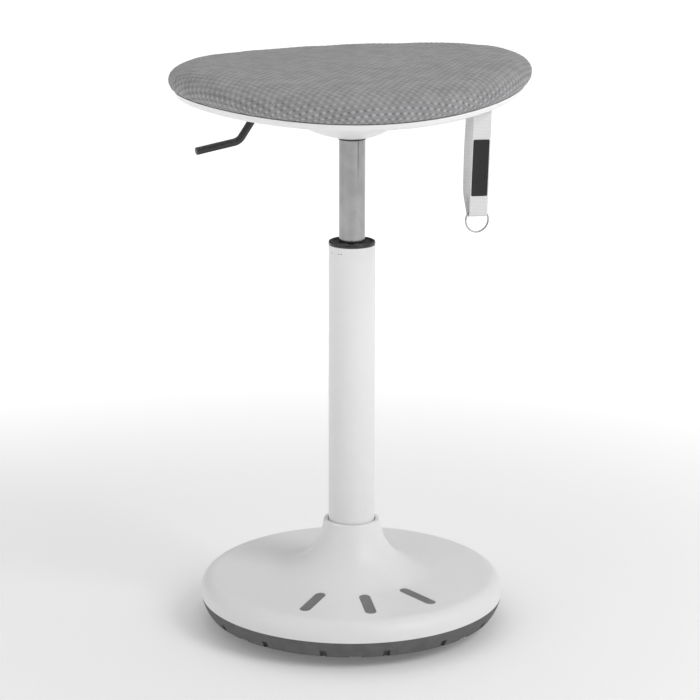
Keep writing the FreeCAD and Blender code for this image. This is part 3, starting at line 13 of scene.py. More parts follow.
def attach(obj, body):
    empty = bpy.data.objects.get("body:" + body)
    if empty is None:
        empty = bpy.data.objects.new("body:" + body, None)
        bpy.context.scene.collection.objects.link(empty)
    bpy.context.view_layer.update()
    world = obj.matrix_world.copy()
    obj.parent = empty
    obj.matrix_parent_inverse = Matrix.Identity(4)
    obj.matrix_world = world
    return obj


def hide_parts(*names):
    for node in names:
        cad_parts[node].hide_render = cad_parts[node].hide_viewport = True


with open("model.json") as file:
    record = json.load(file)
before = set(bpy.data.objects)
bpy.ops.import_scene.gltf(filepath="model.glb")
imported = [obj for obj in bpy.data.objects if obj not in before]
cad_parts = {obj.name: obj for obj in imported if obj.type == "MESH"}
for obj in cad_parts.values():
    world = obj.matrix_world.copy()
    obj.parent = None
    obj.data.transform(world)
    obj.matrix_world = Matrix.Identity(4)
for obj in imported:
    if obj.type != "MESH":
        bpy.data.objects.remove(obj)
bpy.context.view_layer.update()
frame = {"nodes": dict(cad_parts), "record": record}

bl_info = {
    "name": "Wobble stool",
    "version": (1, 0, 0),
    "blender": (4, 5, 0),
    "location": "View3D > Sidebar > Stool",
    "description": "Builds the stool's soft pieces, finishes and studio around its CAD frame",
    "category": "Object",
}

SEED = 11

# The seat's form, in millimetres and in the seat's own frame
SEAT_TURN = math.radians(11.8)
SEAT_SHIFT = -2.5
SEAT_RADIUS = 183.7
SEAT_HEIGHT = 586.6
SIDE_RISE = 5.75
BACK_RISE = 4.45
EDGE_WAVE = 0.95
CUSHION_SIDE = ((0, 0.3), (12.9, 7.35), (11.18, 28.81), (-26.46, 29.4))
CUSHION_SKIRT = ((178.5, 0.3), (178.5, -2), (176.2, -2), (176.2, 7.1))
SKIRT_CLOTH = 3
PROFILE_SAMPLES = 400
FULL_RING_RADIUS = 95
FEWEST_RING_POINTS = 12
FEWEST_FLOOR_POINTS = 15
FLOOR_SHRINK = 0.62

# The cushion's cloth simulation: its draft in millimetres, the rest in metres
DRAFT_STEP = 5
DRAFT_RING = 180
VOXEL = 0.0055
HELD_HEIGHT = 0.006
HELD_SLOPE = -0.3
LAST_FRAME = 20
CLOTH = {
    "quality": 5, "mass": 0.25, "tension_stiffness": 18, "compression_stiffness": 18, "shear_stiffness": 8,
    "bending_stiffness": 0.6, "use_pressure": True, "uniform_pressure_force": 4}
CARRY_SPREAD = 0.014
CARRY_POINTS = 24

# The cushion's relief, in metres: bands are distances from the seam along the cloth
SPOT_WIDTH = 0.0019
PIT_WIDTH = 0.0015
SPOTS_ON_TOP = 0.3
PITS_ON_TOP = 0.25
SPOT_BAND = (0.08, 0.045)
SPOT_FADE_BAND = (0.02, 0.008)
SPOTS_FADED = 0.6
PIT_BAND = (0.03, 0.012)
PLAIN_BAND = (0.004, 0.001)
PUCKER_BAND = (0.016, 0.004)
PUCKER_END_BAND = (0.003, 0)
PUCKERS_ENDED = 0.7
PUCKER_WAVES = (41, 53, 67, 83)
PUCKER_SUM = 3

# The strap's frame in the world, and its line from the front layer round to the back
STRAP_PIVOT = Vector((128.47, -91.975, 580.492))
STRAP_ACROSS = Vector((0.950587, 0.308865, -0.031411))
STRAP_INWARD = Vector((-0.309017, 0.951057, 0))
STRAP_LINE = ((-10, 0.5), (-10, -108.8), (-3, -107.3), (10, -86.8), (10, 0.5))
STRAP_BENDS = (3, 3, 18)
BEND_STEPS = 12
STRAP_HALF_WIDTH = 10
STRAP_HALF_THICK = 0.6
STRAP_STEP = 0.55
STRAP_SECTION = 29
STRAP_EDGE_POWER = 14
SELVEDGE_RISE = 0.1
SELVEDGE_PLACE = 0.9
SELVEDGE_WIDTH = 0.06
CHEVRON_WIDTH = 5
CHEVRON_DEPTH = 2.4
BACK_HEIGHT = 87
LABEL_SIZE = (17.4, 58, 0.5)
LABEL_DROP = 29
LABEL_CORNER = 1.5
LABEL_RINGS = ((0, 0.04), (0, 0.6), (0.12, 0.9), (0.4, 1), (2.2, 1), (2.5, 0.86))
STITCH_INSET = 1.3
STITCH_SINK = 0.02
STITCH_HALF_SIZE = (0.00105, 0.00028, 0.00022)
RING_CENTRE = Vector((127.39, -100.11, 467.98))
RING_RADIUS = 12.2
RING_SIDES = 14
RING_HALF_WIDTH = 0.78
RING_TURN_FILL = 0.97
RING_FLATNESS = 0.7
RING_END = 0.16
RING_CROSSING = 0.28
RING_START = 0.6
RING_TAPER = 0.72
RING_TAPER_TURN = 0.05

# The column's stake dents near its top, drawn as small black studs of painted shade, by angle and height,
# and the seat board's plies
STAKE_DENT_SHADES = ((210.7, 414.0), (235.6, 414.4), (242.7, 414.6))
COLUMN_RADIUS = 25
PLY_THICKNESS = 1.5
DENT_SHADE_SINK = 0.02
DENT_SHADE_HALF_SIZE = (0.00075, 0.00055, 0.0002)

# The studio, in metres
FLOOR_REACH = 14
LIGHT_AIM = (0, 0, 0.35)
CAMERA_PLACE = (-0.00192, -2.6188, 0.9930)


# Settings

def grey(level, tint=0.0):
    return level, level, level * (1 + tint), 1


def distance_prop(name, description, default):
    return FloatProperty(name=name, description=description, default=default, unit="LENGTH")


def factor_prop(name, description, default):
    return FloatProperty(name=name, description=description, default=default, subtype="FACTOR")


def power_prop(name, description, default):
    return FloatProperty(name=name, description=description, default=default, unit="POWER")


def angle_prop(name, description, degrees):
    return FloatProperty(name=name, description=description, default=math.radians(degrees), subtype="ANGLE")


def colour_prop(name, description, shade):
    return FloatVectorProperty(name=name, description=description, default=shade[:3], size=3, min=0, max=1,
                               subtype="COLOR")


class CushionSettings(bpy.types.PropertyGroup):
    pitch: distance_prop("Spot pitch", "Distance between spots in a row", 0.0082)
    row: distance_prop("Row pitch", "Distance between rows of spots", 0.0062)
    spot_height: distance_prop("Spot height", "Rise of the raised spots", 0.00042)
    pit_depth: distance_prop("Pit depth", "Depth of the pits", 0.0005)
    pucker: distance_prop("Pucker", "Depth of the puckers at the seam", 0.00045)
    shrink: distance_prop("Start inset", "Inset of the cloth before it swells", 0.0008)
    swell: distance_prop("Swell limit", "Furthest that the cloth may move", 0.0012)
    step: distance_prop("Mesh step", "Distance between rings of the mesh", 0.0013)
    ring: IntProperty(name="Ring points", description="Points on the mesh's outer rings", default=960)
    fill: factor_prop("Fill", "How full the cushion is", 0.9)
    # the knit's dark colour is partly painted shade in the gaps between threads and partly random tone
    knit_dark: colour_prop("Knit, dark", "Dark threads of the mesh fabric", grey(0.17, 0.02))
    knit_light: colour_prop("Knit, light", "Pale threads of the mesh fabric", grey(0.36, 0.02))
    # painted highlight on the raised spots
    spot_colour: colour_prop("Spots", "Tops of the raised spots", grey(0.5, 0.02))
    # painted shade in the pits
    pit_colour: colour_prop("Pits", "Bottoms of the pits", grey(0.09, 0.02))
    lint: colour_prop("Lint", "Dust on the mesh fabric", (0.6, 0.58, 0.55))


class StrapSettings(bpy.types.PropertyGroup):
    rib: distance_prop("Rib pitch", "Pitch of the herringbone ribs", 0.0021)
    relief: distance_prop("Relief", "Height of the ribs", 0.00007)
    bow: distance_prop("Bow", "How far the back layer bows out", 0.0018)
    stitch: distance_prop("Stitch pitch", "Pitch of the label's stitches", 0.003)
    # the webbing's dark colour is painted shade in the gaps between its threads
    webbing_dark: colour_prop("Webbing, dark", "Gaps between the webbing's threads", grey(0.5, 0.01))
    webbing_light: colour_prop("Webbing, light", "The webbing's threads", grey(0.82, 0.01))
    # the label's dark colour is painted shade in the gaps between its threads
    patch_dark: colour_prop("Label, dark", "Gaps between the label's threads", grey(0.006))
    patch_light: colour_prop("Label, light", "The label's threads", grey(0.018))
    # the stitches' dark colour is painted shade in the gaps between their threads
    stitch_dark: colour_prop("Stitches, dark", "Gaps in the label's stitches", grey(0.018))
    stitch_light: colour_prop("Stitches, light", "The label's stitches", grey(0.04))


class RingSettings(bpy.types.PropertyGroup):
    turns_gap: distance_prop("Turn spacing", "Distance between the ring's two turns", 0.00092)
    steps: IntProperty(name="Steps", description="Sections along the wire", default=260)


# Each finish: whose it is, and the colours of its dark and light parts
FINISH_COLOURS = {
    "tread_rubber": ("tread", grey(0.105), grey(0.14)),
    "ballast_iron": ("ballast", grey(0.05), grey(0.12)),
    "socket_steel": ("column socket", grey(0.03), grey(0.05)),
    "cover_white": ("base cover", grey(0.83), grey(0.84)),
    "shell_white": ("seat shell", grey(0.81), grey(0.82)),
    "column_white": ("column tube", grey(0.805), grey(0.815)),
    "zinc_hardware": ("screws and nuts", grey(0.4, 0.04), grey(0.62, 0.03)),
    "bearing_steel": ("bearing", grey(0.6), grey(0.7)),
    "black_plastic": ("collar", grey(0.012), grey(0.02)),
    "tube_steel": ("gas spring", grey(0.27), grey(0.34)),
    "black_rubber": ("seals", grey(0.015), grey(0.03)),
    "pan_black": ("mounting pan", grey(0.012), grey(0.025)),
    "lever_black": ("release lever", grey(0.01), grey(0.018)),
    "ring_chrome": ("split ring", grey(0.3), grey(0.42)),
    "inlay_grey": ("inlays", grey(0.16), grey(0.2)),
    "board_wood": ("seat board", (0.34, 0.2, 0.1), (0.66, 0.5, 0.32)),
}


class FinishSettings(bpy.types.PropertyGroup):
    dust: factor_prop("Dust", "Amount of settled dust", 0.5)
    wear: factor_prop("Edge wear", "Amount of wear on edges", 0.4)
    dust_colour: colour_prop("Dust colour", "Settled dust", (0.62, 0.6, 0.57))
    bare_colour: colour_prop("Worn colour", "Edges worn through their coating", grey(0.35))


for finish, (owner, dark_shade, light_shade) in FINISH_COLOURS.items():
    title = owner.capitalize()
    FinishSettings.__annotations__.update({
        f"{finish}_dark": colour_prop(f"{title}, dark", f"Dark parts of the {owner}", dark_shade),
        f"{finish}_light": colour_prop(f"{title}, light", f"Light parts of the {owner}", light_shade),
    })


class StudioSettings(bpy.types.PropertyGroup):
    key: power_prop("Key light", "Power of the key light", 25)
    fill: power_prop("Fill light", "Power of the fill light", 4.5)
    sky: FloatProperty(name="Surround", description="Strength of the white surround", default=0.56)
    pitch: angle_prop("Camera pitch", "Camera's angle below the horizon", 14.7325)
    roll: angle_prop("Camera roll", "Camera's roll", 0.088)
    lens: FloatProperty(name="Lens", description="Focal length in millimetres", default=129.46)
    floor_dark: colour_prop("Floor, dark", "Dark specks of the floor", grey(0.83))
    floor_light: colour_prop("Floor, light", "Light specks of the floor", grey(0.86))


# Meshes

def metres(points):
    return np.asarray(points, float) / 1000


def new_piece(name, points, faces, material, uv=None):
    """A smooth mesh object from points in metres, with its fabric coordinates if it has any."""
    mesh = bpy.data.meshes.new(name)
    mesh.from_pydata(np.asarray(points).tolist(), [], faces)
    mesh.update()
    if mesh.validate():
        raise RuntimeError(f"{name} has a faulty mesh")
    mesh.polygons.foreach_set("use_smooth", np.ones(len(mesh.polygons), bool))
    if uv is not None:
        corners = np.empty(len(mesh.loops), int)
        mesh.loops.foreach_get("vertex_index", corners)
        layer = mesh.uv_layers.new(name="fabric")
        layer.data.foreach_set("uv", np.asarray(uv, np.float32)[corners].ravel())
    mesh.materials.append(material)
    piece = bpy.data.objects.new(name, mesh)
    bpy.context.scene.collection.objects.link(piece)
    return piece


def vertex_normals(mesh):
    normals = np.empty(len(mesh.vertices) * 3)
    mesh.vertex_normals.foreach_get("vector", normals)
    return normals.reshape(-1, 3)


def places_of(mesh):
    places = np.empty(len(mesh.vertices) * 3)
    mesh.vertices.foreach_get("co", places)
    return places.reshape(-1, 3)


def grid_faces(rows, columns):
    """Quads of a grid whose columns close."""
    faces = []
    for row in range(rows - 1):
        below = row * columns
        above = below + columns
        for column in range(columns):
            beside = (column + 1) % columns
            faces.append((below + column, below + beside, above + beside, above + column))
    return faces


def ramp(value, start, end):
    share = np.clip((value - start) / (end - start), 0, 1)
    return share * share * (3 - 2 * share)


# Cushion

def seat_point(radius, angle, rise):
    """Points of the seat in the world, in millimetres, from a radius, an angle and a rise above the seam."""
    x = radius * np.cos(angle)
    y = radius * np.sin(angle)
    across, deep = x / SEAT_RADIUS, y / SEAT_RADIUS
    height = SIDE_RISE * (across ** 2 - deep ** 2) + BACK_RISE * across
    height -= EDGE_WAVE * (3 * across ** 2 * deep - deep ** 3)
    x = x + SEAT_SHIFT
    turned_x = x * math.cos(SEAT_TURN) - y * math.sin(SEAT_TURN)
    turned_y = x * math.sin(SEAT_TURN) + y * math.cos(SEAT_TURN)
    return np.stack([turned_x, turned_y, SEAT_HEIGHT + rise + height], -1)


def cushion_profile(step):
    """Radius, rise and cloth length from the middle, along the cushion's top and side down to its seam."""
    share = np.linspace(1, 0, PROFILE_SAMPLES)[:, None]
    corners = [np.array(corner, float) for corner in CUSHION_SIDE]
    side = (1 - share) ** 3 * corners[0] + 3 * (1 - share) ** 2 * share * corners[1]
    side = side + 3 * (1 - share) * share ** 2 * corners[2] + share ** 3 * corners[3]
    side[:, 0] += SEAT_RADIUS
    line = np.vstack([[(0, side[0, 1])], side])
    length = np.concatenate([[0], np.cumsum(np.hypot(*np.diff(line, axis=0).T))])
    count = int(length[-1] / step) + 1
    even = np.linspace(0, length[-1], count)
    return np.interp(even, length, line[:, 0]), np.interp(even, length, line[:, 1]), even


def ring_counts(radii, most):
    """Points on each ring, halved towards the middle so that the faces stay even."""
    counts = []
    for radius in radii:
        count = most
        while count > FEWEST_RING_POINTS and radius < FULL_RING_RADIUS * count / most:
            count //= 2
        counts.append(count)
    return counts


def ring_band(outer_first, outer_count, inner_first, inner_count):
    """Faces between two rings that have the same count, or of which the outer has twice the inner's."""
    faces = []
    ratio = outer_count // inner_count
    for index in range(inner_count):
        near = inner_first + index
        beside = inner_first + (index + 1) % inner_count
        start = outer_first + index * ratio
        end = outer_first + (index * ratio + ratio) % outer_count
        if ratio == 2:
            middle = start + 1
            faces.append((near, start, middle))
            faces.append((near, middle, end, beside))
        else:
            faces.append((near, start, end, beside))
    return faces


def cushion_form(step, most):
    """The closed cushion: points in millimetres, faces, and cloth coordinates in millimetres."""
    radii, rises, lengths = cushion_profile(step)
    radii, rises, lengths = radii[1:], rises[1:], lengths[1:]
    counts = ring_counts(radii, most)
    points = [seat_point(np.zeros(1), np.zeros(1), rises[0])]
    cloth = [np.zeros((1, 2))]
    starts = [1]
    for radius, rise, length, count in zip(radii, rises, lengths, counts):
        angle = 2 * math.pi * np.arange(count) / count
        points.append(seat_point(radius, angle, rise))
        cloth.append(length * np.stack([np.cos(angle), np.sin(angle)], -1))
        starts.append(starts[-1] + count)
    faces = [(0, 1 + index, 1 + (index + 1) % counts[0]) for index in range(counts[0])]
    for index in range(1, len(counts)):
        faces += ring_band(starts[index], counts[index], starts[index - 1], counts[index - 1])
    top_count = starts[-1]
    angle = 2 * math.pi * np.arange(most) / most
    last = starts[-2]
    length = lengths[-1]
    for radius, rise in CUSHION_SKIRT:
        length += SKIRT_CLOTH
        points.append(seat_point(radius, angle, rise))
        cloth.append(length * np.stack([np.cos(angle), np.sin(angle)], -1))
        fresh = starts[-1]
        faces += ring_band(fresh, most, last, most)
        last = fresh
        starts.append(fresh + most)
    inner_count = most
    floor_radius, floor_rise = CUSHION_SKIRT[-1]
    while inner_count > FEWEST_FLOOR_POINTS:
        inner_count //= 2
        floor_radius *= FLOOR_SHRINK
        angle = 2 * math.pi * np.arange(inner_count) / inner_count
        points.append(seat_point(floor_radius, angle, floor_rise))
        cloth.append(length * np.stack([np.cos(angle), np.sin(angle)], -1))
        fresh = starts[-1]
        faces += [face[::-1] for face in ring_band(last, inner_count * 2, fresh, inner_count)]
        last = fresh
        starts.append(fresh + inner_count)
    faces.append(tuple(last + index for index in reversed(range(inner_count))))
    return np.vstack(points), faces, np.vstack(cloth), top_count


def swollen(settings):
    """Simulates the cushion's cloth on an even mesh. Returns where its points were and how they moved."""
    points, faces, _, _ = cushion_form(DRAFT_STEP, DRAFT_RING)
    draft = bpy.data.meshes.new("cushion_draft")
    draft.from_pydata(metres(points).tolist(), [], faces)
    pad = bpy.data.objects.new("cushion_draft", draft)
    bpy.context.scene.collection.objects.link(pad)
    remesh = pad.modifiers.new("Remesh", "REMESH")
    remesh.mode = "VOXEL"
    remesh.voxel_size = VOXEL
    graph = bpy.context.evaluated_depsgraph_get()
    even = bpy.data.meshes.new_from_object(pad.evaluated_get(graph))
    pad.modifiers.clear()
    pad.data = even
    bpy.data.meshes.remove(draft)
    normals = vertex_normals(even)
    rest = places_of(even)
    start = rest - normals * settings.shrink
    even.vertices.foreach_set("co", start.ravel())
    even.update()
    held = pad.vertex_groups.new(name="held")
    still = (rest[:, 2] < SEAT_HEIGHT / 1000 + HELD_HEIGHT) | (normals[:, 2] < HELD_SLOPE)
    held.add(np.flatnonzero(still).tolist(), 1.0, "ADD")
    cloth = pad.modifiers.new("Cloth", "CLOTH")
    for name, value in CLOTH.items():
        setattr(cloth.settings, name, value)
    cloth.settings.vertex_group_mass = held.name
    cloth.settings.effector_weights.gravity = 0
    cloth.collision_settings.use_self_collision = False
    cloth.point_cache.frame_start = 1
    cloth.point_cache.frame_end = LAST_FRAME
    scene = bpy.context.scene
    for number in range(1, LAST_FRAME + 1):
        scene.frame_set(number)
    graph = bpy.context.evaluated_depsgraph_get()
    result = bpy.data.meshes.new_from_object(pad.evaluated_get(graph))
    moves = places_of(result) - start
    scene.frame_set(1)
    bpy.data.objects.remove(pad)
    reach = np.linalg.norm(moves, axis=1, keepdims=True)
    moves = moves * np.minimum(1, settings.swell / np.maximum(reach, 1e-9))
    return rest, start + moves - rest


def carried(places, rest, moves):
    """Moves of the nearest points, blended smoothly onto other places."""
    tree = KDTree(len(rest))
    for index, place in enumerate(rest):
        tree.insert(place, index)
    tree.balance()
    blended = np.zeros_like(places)
    for index, place in enumerate(places):
        near = tree.find_n(place, CARRY_POINTS)
        weights = np.exp([-(gap / CARRY_SPREAD) ** 2 for _, _, gap in near])
        blended[index] = weights @ moves[[number for _, number, _ in near]] / max(weights.sum(), 1e-9)
    return blended


def spots(across, along, pitch, row, width, shift):
    """Round spots, from 0 to 1, in staggered rows."""
    line = np.round(along / row)
    place = across / pitch - 0.5 * (line % 2) - shift
    aside = (place - np.round(place)) * pitch
    return np.exp(-(aside ** 2 + (along - line * row) ** 2) / width ** 2)


def cushion_relief(settings, cloth):
    """Rise of the fabric over its smooth form at cloth places in millimetres: spots, pits and puckers."""
    across, deep = cloth.T / 1000
    along = np.linalg.norm(cloth, axis=1) / 1000
    angle = np.arctan2(cloth[:, 1], cloth[:, 0])
    seam = along.max()

    def band(edges):
        far, near = edges
        return ramp(along, seam - far, seam - near)

    lattice = (across, deep, settings.pitch, settings.row)
    shoulder = band(SPOT_BAND) * (1 - SPOTS_FADED * band(SPOT_FADE_BAND))
    raised = spots(*lattice, SPOT_WIDTH, 0) * (SPOTS_ON_TOP + (1 - SPOTS_ON_TOP) * shoulder)
    sunk = spots(*lattice, PIT_WIDTH, 0.5) * (PITS_ON_TOP + (1 - PITS_ON_TOP) * band(PIT_BAND))
    relief = (raised * settings.spot_height - sunk * settings.pit_depth) * (1 - band(PLAIN_BAND))
    random = np.random.default_rng(SEED)
    wave = np.zeros(len(cloth))
    for count in PUCKER_WAVES:
        wave += random.uniform(0.6, 1) * np.sin(count * angle + random.uniform(0, 2 * math.pi))
    near_seam = band(PUCKER_BAND) * (1 - PUCKERS_ENDED * band(PUCKER_END_BAND))
    return relief + settings.pucker * wave / PUCKER_SUM * near_seam


class STOOL_OT_cushion(bpy.types.Operator):
    """Builds the padded seat with its spacer mesh"""
    bl_idname = "stool.cushion"
    bl_label = "Build cushion"

    def execute(self, context):
        settings = context.scene.stool_cushion
        points, faces, cloth, top = cushion_form(settings.step * 1000, settings.ring)
        places = metres(points)
        piece = new_piece("seat_cushion", places, faces, mesh_fabric(settings), cloth / 1000)
        places[:top] += carried(places[:top], *swollen(settings))
        mesh = piece.data
        mesh.vertices.foreach_set("co", places.ravel())
        mesh.update()
        places[:top] += vertex_normals(mesh)[:top] * cushion_relief(settings, cloth[:top])[:, None]
        mesh.vertices.foreach_set("co", places.ravel())
        mesh.update()
        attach(piece, "seat")
        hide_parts("seat_cover", "seat_foam")
        return {"FINISHED"}


# Strap, label and ring

def strap_up():
    return STRAP_ACROSS.cross(STRAP_INWARD)


def rounded_line(corners, radii, step):
    """Even points along a line in a plane whose corners are rounded."""
    corners = [Vector(corner) for corner in corners]
    line = [corners[0]]
    for before, corner, after, radius in zip(corners, corners[1:], corners[2:], radii):
        back = (before - corner).normalized()
        ahead = (after - corner).normalized()
        half = back.angle(ahead) / 2
        reach = radius / math.tan(half)
        centre = corner + (back + ahead).normalized() * (radius / math.sin(half))
        first = corner + back * reach - centre
        last = corner + ahead * reach - centre
        turn = first.angle(last)
        for index in range(BEND_STEPS + 1):
            share = index / BEND_STEPS
            spoke = (first * math.sin((1 - share) * turn) + last * math.sin(share * turn)) / math.sin(turn)
            line.append(centre + spoke)
    line.append(corners[-1])
    line = np.array([tuple(point) for point in line])
    length = np.concatenate([[0], np.cumsum(np.hypot(*np.diff(line, axis=0).T))])
    even = np.linspace(0, length[-1], int(length[-1] / step) + 1)
    return np.stack([np.interp(even, length, line[:, part]) for part in (0, 1)], -1), even


def in_strap(across, inward, up):
    """World places in metres of points given in the strap's frame in millimetres."""
    axes = np.array([STRAP_ACROSS, STRAP_INWARD, strap_up()])
    local = np.stack([across, inward, up], -1)
    return metres(local @ axes + np.array(STRAP_PIVOT))


def webbing_band(settings):
    """Points, faces and cloth coordinates of the folded band."""
    line, along = rounded_line(STRAP_LINE, STRAP_BENDS, STRAP_STEP)
    down = np.clip(-line[:, 1] / BACK_HEIGHT, 0, 1)
    on_back = ramp(ramp(line[:, 0], 4, 9.9) * down, 0, 0.12)
    line[:, 0] += settings.bow * 1000 * np.sin(np.pi * down) * on_back
    heading = np.gradient(line, axis=0)
    heading /= np.linalg.norm(heading, axis=1, keepdims=True)
    normal = np.stack([heading[:, 1], -heading[:, 0]], -1)
    share = np.linspace(-1, 1, STRAP_SECTION)
    bulk = STRAP_HALF_THICK * np.sqrt(np.clip(1 - np.abs(share) ** STRAP_EDGE_POWER, 0, 1))
    selvedge = SELVEDGE_RISE * np.exp(-((np.abs(share) - SELVEDGE_PLACE) / SELVEDGE_WIDTH) ** 2)
    bulk += selvedge * (bulk > 0)
    across = share * STRAP_HALF_WIDTH
    loop_across = np.concatenate([across, across[-2:0:-1]])
    loop_bulk = np.concatenate([bulk, bulk[-2:0:-1]])
    side = np.concatenate([np.ones(STRAP_SECTION), -np.ones(STRAP_SECTION - 2)])
    chevron = np.abs((loop_across / CHEVRON_WIDTH) % 2 - 1) * CHEVRON_DEPTH
    phase = 2 * np.pi * (along[:, None] + chevron[None, :]) / (settings.rib * 1000)
    inner = np.clip(1.05 - np.abs(loop_across) / STRAP_HALF_WIDTH, 0, 0.25) * 4
    offset = side * (loop_bulk + settings.relief * 1000 * np.sin(phase * side) * inner)
    inward = line[:, 0][:, None] + normal[:, 0][:, None] * offset
    up = line[:, 1][:, None] + normal[:, 1][:, None] * offset
    wide = np.broadcast_to(loop_across, inward.shape)
    points = in_strap(wide.ravel(), inward.ravel(), up.ravel())
    rows, columns = inward.shape
    faces = grid_faces(rows, columns)
    faces.append(tuple(reversed(range(columns))))
    faces.append(tuple(range((rows - 1) * columns, rows * columns)))
    cloth = np.stack([wide.ravel(), np.broadcast_to(along[:, None], inward.shape).ravel()], -1)
    return points, faces, cloth / 1000


def rounded_rectangle(width, height, radius, inset, corner_steps=6):
    """Points round a rectangle about its middle, its corners rounded."""
    points = []
    bend = max(radius - inset, 0.05)
    for index, (side, end) in enumerate(((1, 1), (-1, 1), (-1, -1), (1, -1))):
        for step in range(corner_steps + 1):
            angle = (index + step / corner_steps) * math.pi / 2
            x = side * (width / 2 - inset - bend) + bend * math.cos(angle)
            y = end * (height / 2 - inset - bend) + bend * math.sin(angle)
            points.append((x, y))
    return np.array(points)


def lens(centre, length_axis, width_axis, out, half_sizes, sides=10):
    """A small rounded stud: its points and faces from zero."""
    half_length, half_width, half_rise = half_sizes
    points = [centre + out * half_rise]
    for tilt in (0.35, 0.7, 1):
        turn = tilt * math.pi / 2
        for index in range(sides):
            angle = 2 * math.pi * index / sides
            lengthwise = length_axis * (math.cos(angle) * half_length)
            widthwise = width_axis * (math.sin(angle) * half_width)
            rise = out * (half_rise * math.cos(turn))
            points.append(centre + (lengthwise + widthwise) * math.sin(turn) + rise)
    faces = [(0, 1 + index, 1 + (index + 1) % sides) for index in range(sides)]
    for ring in (0, 1):
        for index in range(sides):
            first = 1 + ring * sides + index
            beside = 1 + ring * sides + (index + 1) % sides
            faces.append((first, first + sides, beside + sides, beside))
    faces.append(tuple(1 + 2 * sides + index for index in reversed(range(sides))))
    return points, faces


def label_patch(settings):
    """The label's points and faces, and the index of its first stitch face."""
    width, height, thick = LABEL_SIZE
    front = STRAP_LINE[0][0] - STRAP_HALF_THICK
    middle = -LABEL_DROP - height / 2
    points, faces = [], []
    for inset, rise in LABEL_RINGS:
        outline = rounded_rectangle(width, height, LABEL_CORNER, inset)
        depth = np.full(len(outline), front - rise * thick)
        points.append(in_strap(outline[:, 0], depth, outline[:, 1] + middle))
    count = len(points[0])
    faces += grid_faces(len(LABEL_RINGS), count)
    faces.append(tuple(reversed(range(count))))
    faces.append(tuple(range((len(LABEL_RINGS) - 1) * count, len(LABEL_RINGS) * count)))
    points = [Vector(point) for ring in points for point in ring]
    first_stitch = len(faces)
    half_width = width / 2 - STITCH_INSET
    half_height = height / 2 - STITCH_INSET
    runs = [((-half_width, side), (half_width, side)) for side in (-half_height, half_height)]
    runs += [((side, -half_height), (side, half_height)) for side in (-half_width, half_width)]
    pitch = settings.stitch * 1000
    for (x0, y0), (x1, y1) in runs:
        reach = math.hypot(x1 - x0, y1 - y0)
        number = int(reach / pitch)
        direction = Vector(((x1 - x0) / reach, (y1 - y0) / reach))
        along = STRAP_ACROSS * direction.x + strap_up() * direction.y
        aside = STRAP_ACROSS * -direction.y + strap_up() * direction.x
        for index in range(number):
            share = (index + 0.5) / number
            x = x0 + (x1 - x0) * share
            y = y0 + (y1 - y0) * share + middle
            centre = in_strap(np.array([x]), np.array([front - thick + STITCH_SINK]), np.array([y]))[0]
            made, around = lens(Vector(centre), along, aside, -STRAP_INWARD, STITCH_HALF_SIZE)
            first = len(points)
            points += made
            faces += [tuple(first + corner for corner in face) for face in around]
    return points, faces, first_stitch


class STOOL_OT_strap(bpy.types.Operator):
    """Builds the folded webbing strap and its label"""
    bl_idname = "stool.strap"
    bl_label = "Build strap"

    def execute(self, context):
        settings = context.scene.stool_strap
        points, faces, cloth = webbing_band(settings)
        strap = new_piece("webbing_strap", points, faces, webbing_fabric(settings), cloth)
        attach(strap, "strap")
        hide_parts("carry_strap")
        points, faces, first_stitch = label_patch(settings)
        local = [Vector(point) * 1000 - STRAP_PIVOT for point in points]
        cloth = [(point.dot(STRAP_ACROSS) / 1000, point.z / 1000) for point in local]
        label = new_piece("label_patch", [tuple(point) for point in points], faces, patch_fabric(settings),
                          cloth)
        label.data.materials.append(thread_fabric(settings))
        for face in label.data.polygons[first_stitch:]:
            face.material_index = 1
        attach(label, "strap")
        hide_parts("strap_label")
        return {"FINISHED"}


class STOOL_OT_ring(bpy.types.Operator):
    """Builds the split ring of two turns"""
    bl_idname = "stool.ring"
    bl_label = "Build ring"

    def execute(self, context):
        settings = context.scene.stool_ring
        gap = settings.turns_gap * 1000
        start, end = RING_END, 4 * math.pi - RING_END
        middle = 2 * math.pi
        points = []
        for index in range(settings.steps + 1):
            turn = start + (end - start) * index / settings.steps
            crossed = float(ramp(turn, middle - RING_CROSSING, middle + RING_CROSSING))
            shift = gap * (crossed - 0.5)
            from_end = min(turn - start, end - turn)
            taper = RING_TAPER + (1 - RING_TAPER) * min(1, from_end / RING_TAPER_TURN)
            angle = turn + RING_START
            for corner in range(RING_SIDES):
                around = 2 * math.pi * corner / RING_SIDES
                wide = math.copysign(abs(math.cos(around)) ** RING_FLATNESS, math.cos(around))
                deep = math.copysign(abs(math.sin(around)) ** RING_FLATNESS, math.sin(around))
                radius = RING_RADIUS + wide * RING_HALF_WIDTH * taper
                depth = shift + deep * gap / 2 * RING_TURN_FILL * taper
                spoke = STRAP_ACROSS * (radius * math.cos(angle)) + strap_up() * (radius * math.sin(angle))
                points.append(tuple((RING_CENTRE + spoke + STRAP_INWARD * depth) / 1000))
        rows = settings.steps + 1
        faces = [face[::-1] for face in grid_faces(rows, RING_SIDES)]
        faces.append(tuple(range(RING_SIDES)))
        faces.append(tuple(reversed(range((rows - 1) * RING_SIDES, rows * RING_SIDES))))
        piece = new_piece("split_ring", points, faces, finish_material("ring_chrome"))
        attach(piece, "ring")
        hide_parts("key_ring")
        return {"FINISHED"}


